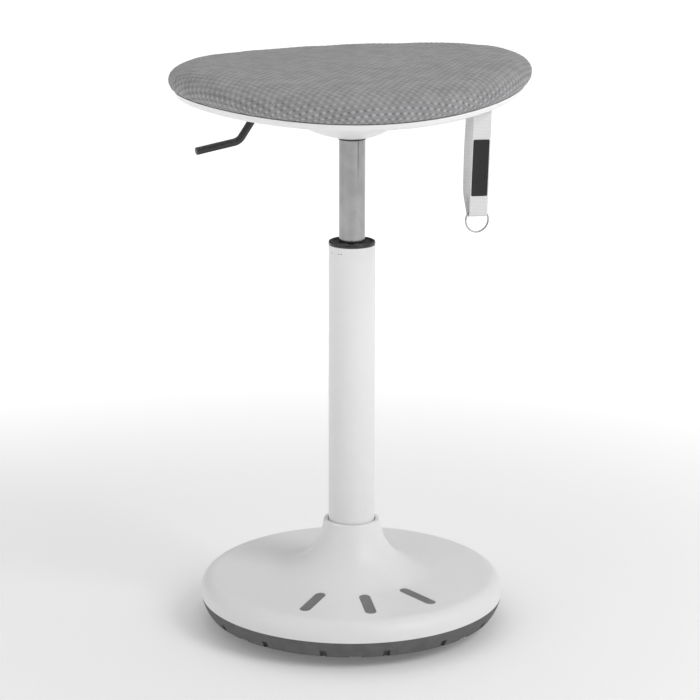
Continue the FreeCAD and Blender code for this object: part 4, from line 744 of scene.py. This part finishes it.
class STOOL_OT_dent_shades(bpy.types.Operator):
    """Builds small black studs near the column's top: painted shade of its stake dents"""
    bl_idname = "stool.marks"
    bl_label = "Build stake marks"

    def execute(self, context):
        points, faces = [], []
        for degrees, height in STAKE_DENT_SHADES:
            angle = math.radians(degrees)
            out = Vector((math.cos(angle), math.sin(angle), 0))
            upward = Vector((0, 0, 1))
            centre = (out * (COLUMN_RADIUS - DENT_SHADE_SINK) + upward * height) / 1000
            made, around = lens(centre, upward.cross(out), upward, out, DENT_SHADE_HALF_SIZE)
            first = len(points)
            points += made
            faces += [tuple(first + corner for corner in face) for face in around]
        # black studs: painted shade standing in for the stake dents
        piece = new_piece("column_stake_dent_shades", [tuple(point) for point in points], faces,
                          finish_material("pan_black"))
        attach(piece, "base")
        return {"FINISHED"}


# Shader nodes

def node(tree, kind, inputs=None, **settings):
    """Adds a node. An input given as a socket is linked, and any other is set."""
    made = tree.nodes.new("ShaderNode" + kind)
    for name, value in settings.items():
        setattr(made, name, value)
    for name, value in (inputs or {}).items():
        if isinstance(value, bpy.types.NodeSocket):
            tree.links.new(value, made.inputs[name])
        else:
            made.inputs[name].default_value = value
    return made


def calc(tree, operation, *values, clamp=False):
    return node(tree, "Math", dict(enumerate(values)), operation=operation, use_clamp=clamp).outputs[0]


def vector_calc(tree, operation, *values):
    made = node(tree, "VectorMath", dict(enumerate(values)), operation=operation)
    return made.outputs["Value" if operation == "DOT_PRODUCT" else "Vector"]


def mix_colour(tree, factor, first, second):
    return node(tree, "Mix", {0: factor, 6: first, 7: second}, data_type="RGBA").outputs[2]


def remap(tree, value, low, high, start=0.0, end=1.0):
    return node(tree, "MapRange", {"Value": value, "From Min": low, "From Max": high, "To Min": start,
                                   "To Max": end}, interpolation_type="SMOOTHSTEP").outputs["Result"]


def noise(tree, vector, scale, detail=2.0, roughness=0.5):
    return node(tree, "TexNoise", {"Vector": vector, "Scale": scale, "Detail": detail,
                                   "Roughness": roughness}).outputs[0]


def effect(name, inputs, outputs):
    """A new group with float inputs, unless they are called Vector, and float outputs."""
    tree = bpy.data.node_groups.new(name, "ShaderNodeTree")
    for direction, names in (("INPUT", inputs), ("OUTPUT", outputs)):
        for socket in names:
            kind = "NodeSocketVector" if socket == "Vector" else "NodeSocketFloat"
            tree.interface.new_socket(name=socket, in_out=direction, socket_type=kind)
    source = tree.nodes.new("NodeGroupInput")
    target = tree.nodes.new("NodeGroupOutput")
    return tree, source.outputs, target.inputs


def use(tree, group, inputs):
    made = tree.nodes.new("ShaderNodeGroup")
    made.node_tree = bpy.data.node_groups[group]
    for name, value in inputs.items():
        if isinstance(value, bpy.types.NodeSocket):
            tree.links.new(value, made.inputs[name])
        else:
            made.inputs[name].default_value = value
    return made.outputs


def make_grain():
    tree, given, wanted = effect("Fine grain", ("Vector", "Scale"), ("Height", "Mask"))
    fine = noise(tree, given["Vector"], given["Scale"], 3, 0.6)
    broad = noise(tree, given["Vector"], calc(tree, "DIVIDE", given["Scale"], 22.0), 4, 0.55)
    tree.links.new(fine, wanted["Height"])
    tree.links.new(remap(tree, broad, 0.35, 0.65), wanted["Mask"])


def make_brushing():
    tree, given, wanted = effect("Turned lines", ("Vector", "Scale"), ("Height", "Mask"))
    flat = vector_calc(tree, "MULTIPLY", given["Vector"], (0.02, 0.02, 1))
    lines = noise(tree, flat, given["Scale"], 3, 0.7)
    smudge = noise(tree, given["Vector"], calc(tree, "DIVIDE", given["Scale"], 60.0), 3)
    tree.links.new(lines, wanted["Height"])
    tree.links.new(remap(tree, smudge, 0.35, 0.68), wanted["Mask"])


def make_dust():
    tree, given, wanted = effect("Settled dust", ("Vector", "Amount"), ("Mask",))
    normal = node(tree, "NewGeometry").outputs["Normal"]
    upward = vector_calc(tree, "DOT_PRODUCT", normal, (0, 0, 1))
    patches = noise(tree, given["Vector"], 14, 5, 0.6)
    specks = remap(tree, noise(tree, given["Vector"], 900, 2), 0.56, 0.7)
    film = calc(tree, "MULTIPLY", remap(tree, upward, 0.3, 1.0), remap(tree, patches, 0.3, 0.75))
    both = calc(tree, "ADD", calc(tree, "MULTIPLY", film, 0.55), calc(tree, "MULTIPLY", film, specks))
    tree.links.new(calc(tree, "MULTIPLY", both, given["Amount"], clamp=True), wanted["Mask"])


def make_wear():
    tree, given, wanted = effect("Edge wear", ("Vector", "Width", "Amount"), ("Mask",))
    soft = node(tree, "Bevel", {"Radius": given["Width"]}, samples=4).outputs["Normal"]
    sharp = node(tree, "NewGeometry").outputs["Normal"]
    bend = calc(tree, "SUBTRACT", 1.0, vector_calc(tree, "DOT_PRODUCT", soft, sharp))
    edge = remap(tree, bend, 0.02, 0.16)
    broken = remap(tree, noise(tree, given["Vector"], 260, 4, 0.65), 0.42, 0.6)
    tree.links.new(calc(tree, "MULTIPLY", calc(tree, "MULTIPLY", edge, broken), given["Amount"]),
                   wanted["Mask"])


def make_weave():
    """Plain weave, one thread to each unit of the given vector. Its Mask is painted shade: low in the gaps
    between threads, high on their crowns.
    """
    tree, given, wanted = effect("Weave", ("Vector",), ("Height", "Mask"))
    parts = node(tree, "SeparateXYZ", {"Vector": given["Vector"]}).outputs
    warp = calc(tree, "SINE", calc(tree, "MULTIPLY", calc(tree, "FRACT", parts["X"]), math.pi))
    weft = calc(tree, "SINE", calc(tree, "MULTIPLY", calc(tree, "FRACT", parts["Y"]), math.pi))
    cells = calc(tree, "ADD", calc(tree, "FLOOR", parts["X"]), calc(tree, "FLOOR", parts["Y"]))
    parity = calc(tree, "GREATER_THAN", calc(tree, "FRACT", calc(tree, "MULTIPLY", cells, 0.5)), 0.25)
    over = calc(tree, "MULTIPLY", warp, calc(tree, "ADD", calc(tree, "MULTIPLY", weft, 0.4), 0.6))
    under = calc(tree, "MULTIPLY", weft, calc(tree, "ADD", calc(tree, "MULTIPLY", warp, 0.4), 0.6))
    height = node(tree, "Mix", {0: parity, 2: over, 3: under}, data_type="FLOAT").outputs[0]
    tree.links.new(height, wanted["Height"])
    # painted shade: the mask darkens the gaps between threads and lightens their crowns
    tree.links.new(remap(tree, height, 0.1, 0.8), wanted["Mask"])


def make_spots():
    """Spots in staggered rows, and the pits between them, one to each unit of the given vector."""
    tree, given, wanted = effect("Staggered spots", ("Vector", "Spot Width", "Pit Width"), ("Spot", "Pit"))
    parts = node(tree, "SeparateXYZ", {"Vector": given["Vector"]}).outputs
    line = calc(tree, "ROUND", parts["Y"])
    odd = calc(tree, "PINGPONG", line, 1.0)
    place = calc(tree, "SUBTRACT", parts["X"], calc(tree, "MULTIPLY", odd, 0.5))
    up = calc(tree, "SUBTRACT", parts["Y"], line)
    for name, shift, width in (("Spot", 0.0, "Spot Width"), ("Pit", 0.5, "Pit Width")):
        moved = calc(tree, "SUBTRACT", place, shift)
        aside = calc(tree, "SUBTRACT", moved, calc(tree, "ROUND", moved))
        squares = calc(tree, "ADD", calc(tree, "MULTIPLY", aside, aside), calc(tree, "MULTIPLY", up, up))
        reach = calc(tree, "DIVIDE", calc(tree, "SQRT", squares), given[width])
        tree.links.new(remap(tree, reach, 1.0, 0.35), wanted[name])


# Materials

def new_material(name):
    material = bpy.data.materials.new(name)
    material.use_nodes = True
    tree = material.node_tree
    tree.nodes.clear()
    shader = node(tree, "BsdfPrincipled")
    target = node(tree, "OutputMaterial", {"Surface": shader.outputs["BSDF"]})
    target.location.x = 300
    return material, tree, shader.inputs


# Each finish: roughness of its dark and light parts, the grain's scale and height, and what lies on it
FINISHES = {
    "tread_rubber": dict(rough=(0.62, 0.8), scale=1500, bump=0.00012, dust=0.5),
    "ballast_iron": dict(rough=(0.6, 0.85), scale=600, bump=0.0004, metal=0.6),
    "socket_steel": dict(rough=(0.35, 0.5), scale=1200, bump=0.0001, wear=0.8),
    "cover_white": dict(rough=(0.4, 0.43), scale=1500, bump=0.00003, dust=0.1),
    "shell_white": dict(rough=(0.38, 0.41), scale=1500, bump=0.00003, dust=0.1),
    "column_white": dict(rough=(0.4, 0.42), scale=1400, bump=0.00002),
    "zinc_hardware": dict(rough=(0.28, 0.45), scale=800, bump=0.00004, metal=1, wear=0.5),
    "bearing_steel": dict(rough=(0.1, 0.2), scale=900, bump=0.00001, metal=1),
    "black_plastic": dict(rough=(0.22, 0.36), scale=1200, bump=0.00004, dust=0.25, wear=0.3),
    "tube_steel": dict(rough=(0.16, 0.24), scale=2400, bump=0.000015, metal=1, turned=True),
    "black_rubber": dict(rough=(0.6, 0.8), scale=1200, bump=0.0001),
    "pan_black": dict(rough=(0.3, 0.45), scale=1100, bump=0.0001, wear=0.6),
    "lever_black": dict(rough=(0.24, 0.34), scale=1000, bump=0.00003, wear=0.8, dust=0.3),
    "ring_chrome": dict(rough=(0.16, 0.3), scale=2500, bump=0.00002, metal=1),
    "inlay_grey": dict(rough=(0.5, 0.65), scale=1600, bump=0.00005, dust=0.3),
}


def solid(shade):
    return *shade, 1


def finish_colours(slot):
    """The dark and the light colour that the settings give a finish."""
    settings = bpy.context.scene.stool_finish
    return [solid(getattr(settings, f"{slot}_{part}")) for part in ("dark", "light")]


def finish_material(slot):
    """The plain finish of a slot: grain or turned lines, with dust and worn edges where it has them."""
    name = f"{slot}_finish"
    if name in bpy.data.materials:
        return bpy.data.materials[name]
    look = FINISHES[slot]
    settings = bpy.context.scene.stool_finish
    material, tree, shader = new_material(name)
    place = node(tree, "TexCoord").outputs["Object"]
    pattern = use(tree, "Turned lines" if look.get("turned") else "Fine grain",
                  {"Vector": place, "Scale": look["scale"]})
    colour = mix_colour(tree, pattern["Mask"], *finish_colours(slot))
    rough = remap(tree, pattern["Mask"], 0, 1, *look["rough"])
    if "wear" in look:
        worn = use(tree, "Edge wear",
                   {"Vector": place, "Width": 0.0006, "Amount": look["wear"] * settings.wear})
        colour = mix_colour(tree, worn["Mask"], colour, solid(settings.bare_colour))
    if "dust" in look:
        dust = use(tree, "Settled dust", {"Vector": place, "Amount": look["dust"] * settings.dust})
        colour = mix_colour(tree, dust["Mask"], colour, solid(settings.dust_colour))
        rough = calc(tree, "ADD", rough, calc(tree, "MULTIPLY", dust["Mask"], 0.4), clamp=True)
    bump = node(tree, "Bump", {"Height": pattern["Height"], "Distance": look["bump"], "Strength": 0.7})
    tree.links.new(colour, shader["Base Color"])
    tree.links.new(rough, shader["Roughness"])
    tree.links.new(bump.outputs["Normal"], shader["Normal"])
    shader["Metallic"].default_value = look.get("metal", 0)
    return material


def plywood():
    """Bare plywood: fibres along the board and plies across its edge."""
    material, tree, shader = new_material("board_wood_finish")
    place = node(tree, "TexCoord").outputs["Object"]
    parts = node(tree, "SeparateXYZ", {"Vector": place}).outputs
    stretched = vector_calc(tree, "MULTIPLY", place, (1, 9, 1))
    fibres = noise(tree, stretched, 60, 5, 0.65)
    plies = calc(tree, "PINGPONG", calc(tree, "MULTIPLY", parts["Z"], 1000 / PLY_THICKNESS), 1.0)
    shade = calc(tree, "ADD", calc(tree, "MULTIPLY", fibres, 0.6), calc(tree, "MULTIPLY", plies, 0.3))
    colour = mix_colour(tree, shade, *finish_colours("board_wood"))
    bump = node(tree, "Bump", {"Height": fibres, "Distance": 0.0002, "Strength": 0.6})
    tree.links.new(colour, shader["Base Color"])
    tree.links.new(bump.outputs["Normal"], shader["Normal"])
    shader["Roughness"].default_value = 0.7
    return material


def cloth_place(tree, scale):
    cloth = node(tree, "UVMap", uv_map="fabric").outputs["UV"]
    return vector_calc(tree, "MULTIPLY", cloth, scale)


def mesh_fabric(settings):
    """Grey spacer mesh: a fine knit on a slant with painted shade in its gaps, raised spots with a painted
    highlight and pits with painted shade, both stronger on the steep sides.
    """
    material, tree, shader = new_material("seat_mesh_finish")
    flat = cloth_place(tree, (1, 1, 1))
    lattice = cloth_place(tree, (1 / settings.pitch, 1 / settings.row, 1))
    cells = use(tree, "Staggered spots", {"Vector": lattice, "Spot Width": 0.36, "Pit Width": 0.28})
    slant = node(tree, "VectorRotate", {"Vector": flat, "Angle": math.radians(38)}, rotation_type="Z_AXIS")
    fine = use(tree, "Weave",
               {"Vector": vector_calc(tree, "MULTIPLY", slant.outputs["Vector"], (720, 620, 1))})
    mottle = use(tree, "Fine grain", {"Vector": flat, "Scale": 1300})
    place = node(tree, "TexCoord").outputs["Object"]
    upward = vector_calc(tree, "DOT_PRODUCT", node(tree, "NewGeometry").outputs["Normal"], (0, 0, 1))
    # steepness of the cloth, which sets how strong the painted highlight on the spots and the painted shade
    # in the pits are
    wall = remap(tree, upward, 0.85, 0.35)
    # painted shade in the knit's gaps from the weave mask, plus random mottle
    shade = calc(tree, "ADD", calc(tree, "MULTIPLY", fine["Mask"], 0.6),
                 calc(tree, "MULTIPLY", mottle["Mask"], 0.3))
    colour = mix_colour(tree, shade, solid(settings.knit_dark), solid(settings.knit_light))
    # painted highlight on the spots, stronger where the cloth turns steep
    spot_highlight_mask = calc(tree, "MULTIPLY", cells["Spot"], remap(tree, wall, 0, 1, 0.32, 0.55))
    colour = mix_colour(tree, spot_highlight_mask, colour, solid(settings.spot_colour))
    # painted shade in the pits, stronger on the steep sides
    pit_shade_mask = calc(tree, "MULTIPLY", cells["Pit"], remap(tree, wall, 0, 1, 0.3, 0.5))
    colour = mix_colour(tree, pit_shade_mask, colour, solid(settings.pit_colour))
    dust = use(tree, "Settled dust", {"Vector": place, "Amount": 0.12})
    colour = mix_colour(tree, dust["Mask"], colour, solid(settings.lint))
    raised = calc(tree, "ADD", fine["Height"], calc(tree, "MULTIPLY", cells["Spot"], 1.2))
    raised = calc(tree, "SUBTRACT", raised, calc(tree, "MULTIPLY", cells["Pit"], 1.4))
    height = calc(tree, "ADD", raised, calc(tree, "MULTIPLY", mottle["Height"], 0.5))
    bump = node(tree, "Bump", {"Height": height, "Distance": 0.00022, "Strength": 0.8})
    tree.links.new(colour, shader["Base Color"])
    tree.links.new(bump.outputs["Normal"], shader["Normal"])
    shader["Roughness"].default_value = 0.85
    shader["Sheen Weight"].default_value = 0.12
    shader["Sheen Roughness"].default_value = 0.5
    return material


def woven(name, scale, dark, light, distance, roughness=0.8):
    """A plain woven cloth with a little fluff. Its dark colour is painted shade in the gaps between threads,
    mixed with random fluff tone.
    """
    material, tree, shader = new_material(name)
    threads = use(tree, "Weave", {"Vector": cloth_place(tree, scale)})
    fluff = use(tree, "Fine grain", {"Vector": cloth_place(tree, (1, 1, 1)), "Scale": 2600})
    # painted shade: the weave's mask takes the dark colour into the thread gaps, and the fluff adds random
    # tone
    shade = calc(tree, "ADD", calc(tree, "MULTIPLY", threads["Mask"], 0.7),
                 calc(tree, "MULTIPLY", fluff["Height"], 0.3))
    height = calc(tree, "ADD", threads["Height"], calc(tree, "MULTIPLY", fluff["Height"], 0.5))
    bump = node(tree, "Bump", {"Height": height, "Distance": distance, "Strength": 0.8})
    tree.links.new(mix_colour(tree, shade, solid(dark), solid(light)), shader["Base Color"])
    tree.links.new(bump.outputs["Normal"], shader["Normal"])
    shader["Roughness"].default_value = roughness
    shader["Sheen Weight"].default_value = 0.03
    return material


def webbing_fabric(settings):
    return woven("strap_white_finish", (950, 700, 1), settings.webbing_dark, settings.webbing_light, 0.00012)


def patch_fabric(settings):
    return woven("label_black_finish", (2400, 2400, 1), settings.patch_dark, settings.patch_light, 0.00008,
                 0.75)


def thread_fabric(settings):
    return woven("label_thread", (5200, 5200, 1), settings.stitch_dark, settings.stitch_light, 0.00004, 0.7)


class STOOL_OT_finishes(bpy.types.Operator):
    """Gives every CAD piece that is still shown its finish"""
    bl_idname = "stool.finishes"
    bl_label = "Apply finishes"

    def execute(self, context):
        special = {"board_wood": plywood()}
        for part in frame["record"]["subparts"]:
            piece = frame["nodes"][part["node"]]
            slot = part["material_slot"]
            if piece.hide_render:
                continue
            material = special.get(slot) or finish_material(slot)
            piece.data.materials.clear()
            piece.data.materials.append(material)
        return {"FINISHED"}


# Studio

def area_light(name, place, size, power):
    light = bpy.data.lights.new(name, "AREA")
    light.energy = power
    light.shape = "RECTANGLE"
    light.size, light.size_y = size
    lamp = bpy.data.objects.new(name, light)
    lamp.location = place
    lamp.rotation_euler = (Vector(LIGHT_AIM) - Vector(place)).to_track_quat("-Z", "Y").to_euler()
    bpy.context.scene.collection.objects.link(lamp)
    return lamp


def studio_floor(settings):
    reach = FLOOR_REACH
    points = [(-reach, -reach, 0), (reach, -reach, 0), (reach, reach, 0), (-reach, reach, 0)]
    material, tree, shader = new_material("studio_floor")
    place = node(tree, "TexCoord").outputs["Object"]
    far = remap(tree, node(tree, "VectorMath", {0: place}, operation="LENGTH").outputs["Value"], 0.3, 1.6)
    speckle = noise(tree, place, 240, 3)
    tree.links.new(mix_colour(tree, speckle, solid(settings.floor_dark), solid(settings.floor_light)),
                   shader["Base Color"])
    tree.links.new(mix_colour(tree, far, grey(0.12), grey(0.62)), shader["Emission Color"])
    shader["Emission Strength"].default_value = 1
    shader["Roughness"].default_value = 0.85
    return new_piece("studio_floor", points, [(0, 1, 2, 3)], material)


def studio_world(strength):
    """White where the camera sees it, plain light elsewhere, and soft bands in reflections."""
    world = bpy.data.worlds.new("studio_world")
    bpy.context.scene.world = world
    world.use_nodes = True
    tree = world.node_tree
    tree.nodes.clear()
    path = node(tree, "LightPath").outputs
    toward = node(tree, "TexCoord").outputs["Generated"]

    def glow(direction, *edges):
        return remap(tree, vector_calc(tree, "DOT_PRODUCT", toward, direction), *edges)

    even = glow((0.12, -0.99, 0.05), 0.72, 0.96, strength, strength * 0.3)
    strip = glow((0.62, -0.78, 0.05), 0.86, 0.97, 0.1, 1.1)
    side = glow((-0.97, -0.2, 0.1), 0.35, 0.95, 0.0, 0.5)
    back = glow((0.9, 0.43, 0.1), 0.4, 0.95, 0.0, 0.42)
    bands = calc(tree, "ADD", calc(tree, "ADD", strip, side), back)
    level = node(tree, "Mix", {0: path["Is Glossy Ray"], 2: even, 3: bands}, data_type="FLOAT").outputs[0]
    lit = node(tree, "Background", {"Color": (1, 1, 1, 1), "Strength": level}).outputs[0]
    shown = node(tree, "Background", {"Color": (1, 1, 1, 1), "Strength": 1.0}).outputs[0]
    mixed = node(tree, "MixShader", {0: path["Is Camera Ray"], 1: lit, 2: shown}).outputs[0]
    node(tree, "OutputWorld", {"Surface": mixed})


class STOOL_OT_studio(bpy.types.Operator):
    """Sets up the floor, the lights and the camera"""
    bl_idname = "stool.studio"
    bl_label = "Set up studio"

    def execute(self, context):
        settings = context.scene.stool_studio
        things = [
            studio_floor(settings),
            area_light("key_light", (1.7, -1.3, 1.9), (1.1, 1.4), settings.key),
            area_light("fill_light", (-1.9, -1.6, 1.2), (1.4, 1.4), settings.fill),
            area_light("top_light", (0, 0.5, 2.4), (1.6, 1.6), settings.fill * 1.6),
        ]
        studio_world(settings.sky)
        camera = bpy.data.cameras.new("camera")
        camera.sensor_width = 36
        camera.lens = settings.lens
        camera.clip_end = 60
        seen = bpy.data.objects.new("camera", camera)
        tilt = Euler((math.pi / 2 - settings.pitch, 0, 0)).to_matrix().to_4x4()
        seen.matrix_world = (Matrix.Translation(CAMERA_PLACE) @ tilt
                             @ Matrix.Rotation(settings.roll, 4, "Z"))
        context.scene.collection.objects.link(seen)
        context.scene.camera = seen
        things.append(seen)
        context.scene.view_settings.view_transform = "Standard"
        return {"FINISHED"}


class STOOL_PT_panel(bpy.types.Panel):
    """Lists the stool's settings and operators in the sidebar"""
    bl_label = "Wobble stool"
    bl_space_type = "VIEW_3D"
    bl_region_type = "UI"
    bl_category = "Stool"

    def draw(self, context):
        scene = context.scene
        for title, group, names in PANEL_ROWS:
            box = self.layout.box()
            box.label(text=title)
            owner = getattr(scene, group)
            for name in owner.__annotations__:
                box.prop(owner, name)
            for name in names:
                box.operator(name)


PANEL_ROWS = (
    ("Cushion", "stool_cushion", ("stool.cushion",)),
    ("Strap", "stool_strap", ("stool.strap",)),
    ("Ring", "stool_ring", ("stool.ring", "stool.marks")),
    ("Finishes", "stool_finish", ("stool.finishes",)),
    ("Studio", "stool_studio", ("stool.studio",)),
)
GROUPS = {
    "stool_cushion": CushionSettings, "stool_strap": StrapSettings, "stool_ring": RingSettings,
    "stool_finish": FinishSettings, "stool_studio": StudioSettings}
CLASSES = (
    *GROUPS.values(), STOOL_OT_cushion, STOOL_OT_strap, STOOL_OT_ring, STOOL_OT_dent_shades, STOOL_OT_finishes,
    STOOL_OT_studio, STOOL_PT_panel)


def register():
    for kind in CLASSES:
        bpy.utils.register_class(kind)
    for name, kind in GROUPS.items():
        setattr(bpy.types.Scene, name, PointerProperty(type=kind))


def unregister():
    for name in GROUPS:
        delattr(bpy.types.Scene, name)
    for kind in reversed(CLASSES):
        bpy.utils.unregister_class(kind)


def main():
    register()
    for make in (make_grain, make_brushing, make_dust, make_wear, make_weave, make_spots):
        make()
    for _, _, names in PANEL_ROWS:
        for name in names:
            group, operator = name.split(".")
            if getattr(getattr(bpy.ops, group), operator)() != {"FINISHED"}:
                raise RuntimeError(f"{name} did not finish")


if __name__ == "__main__":
    main()
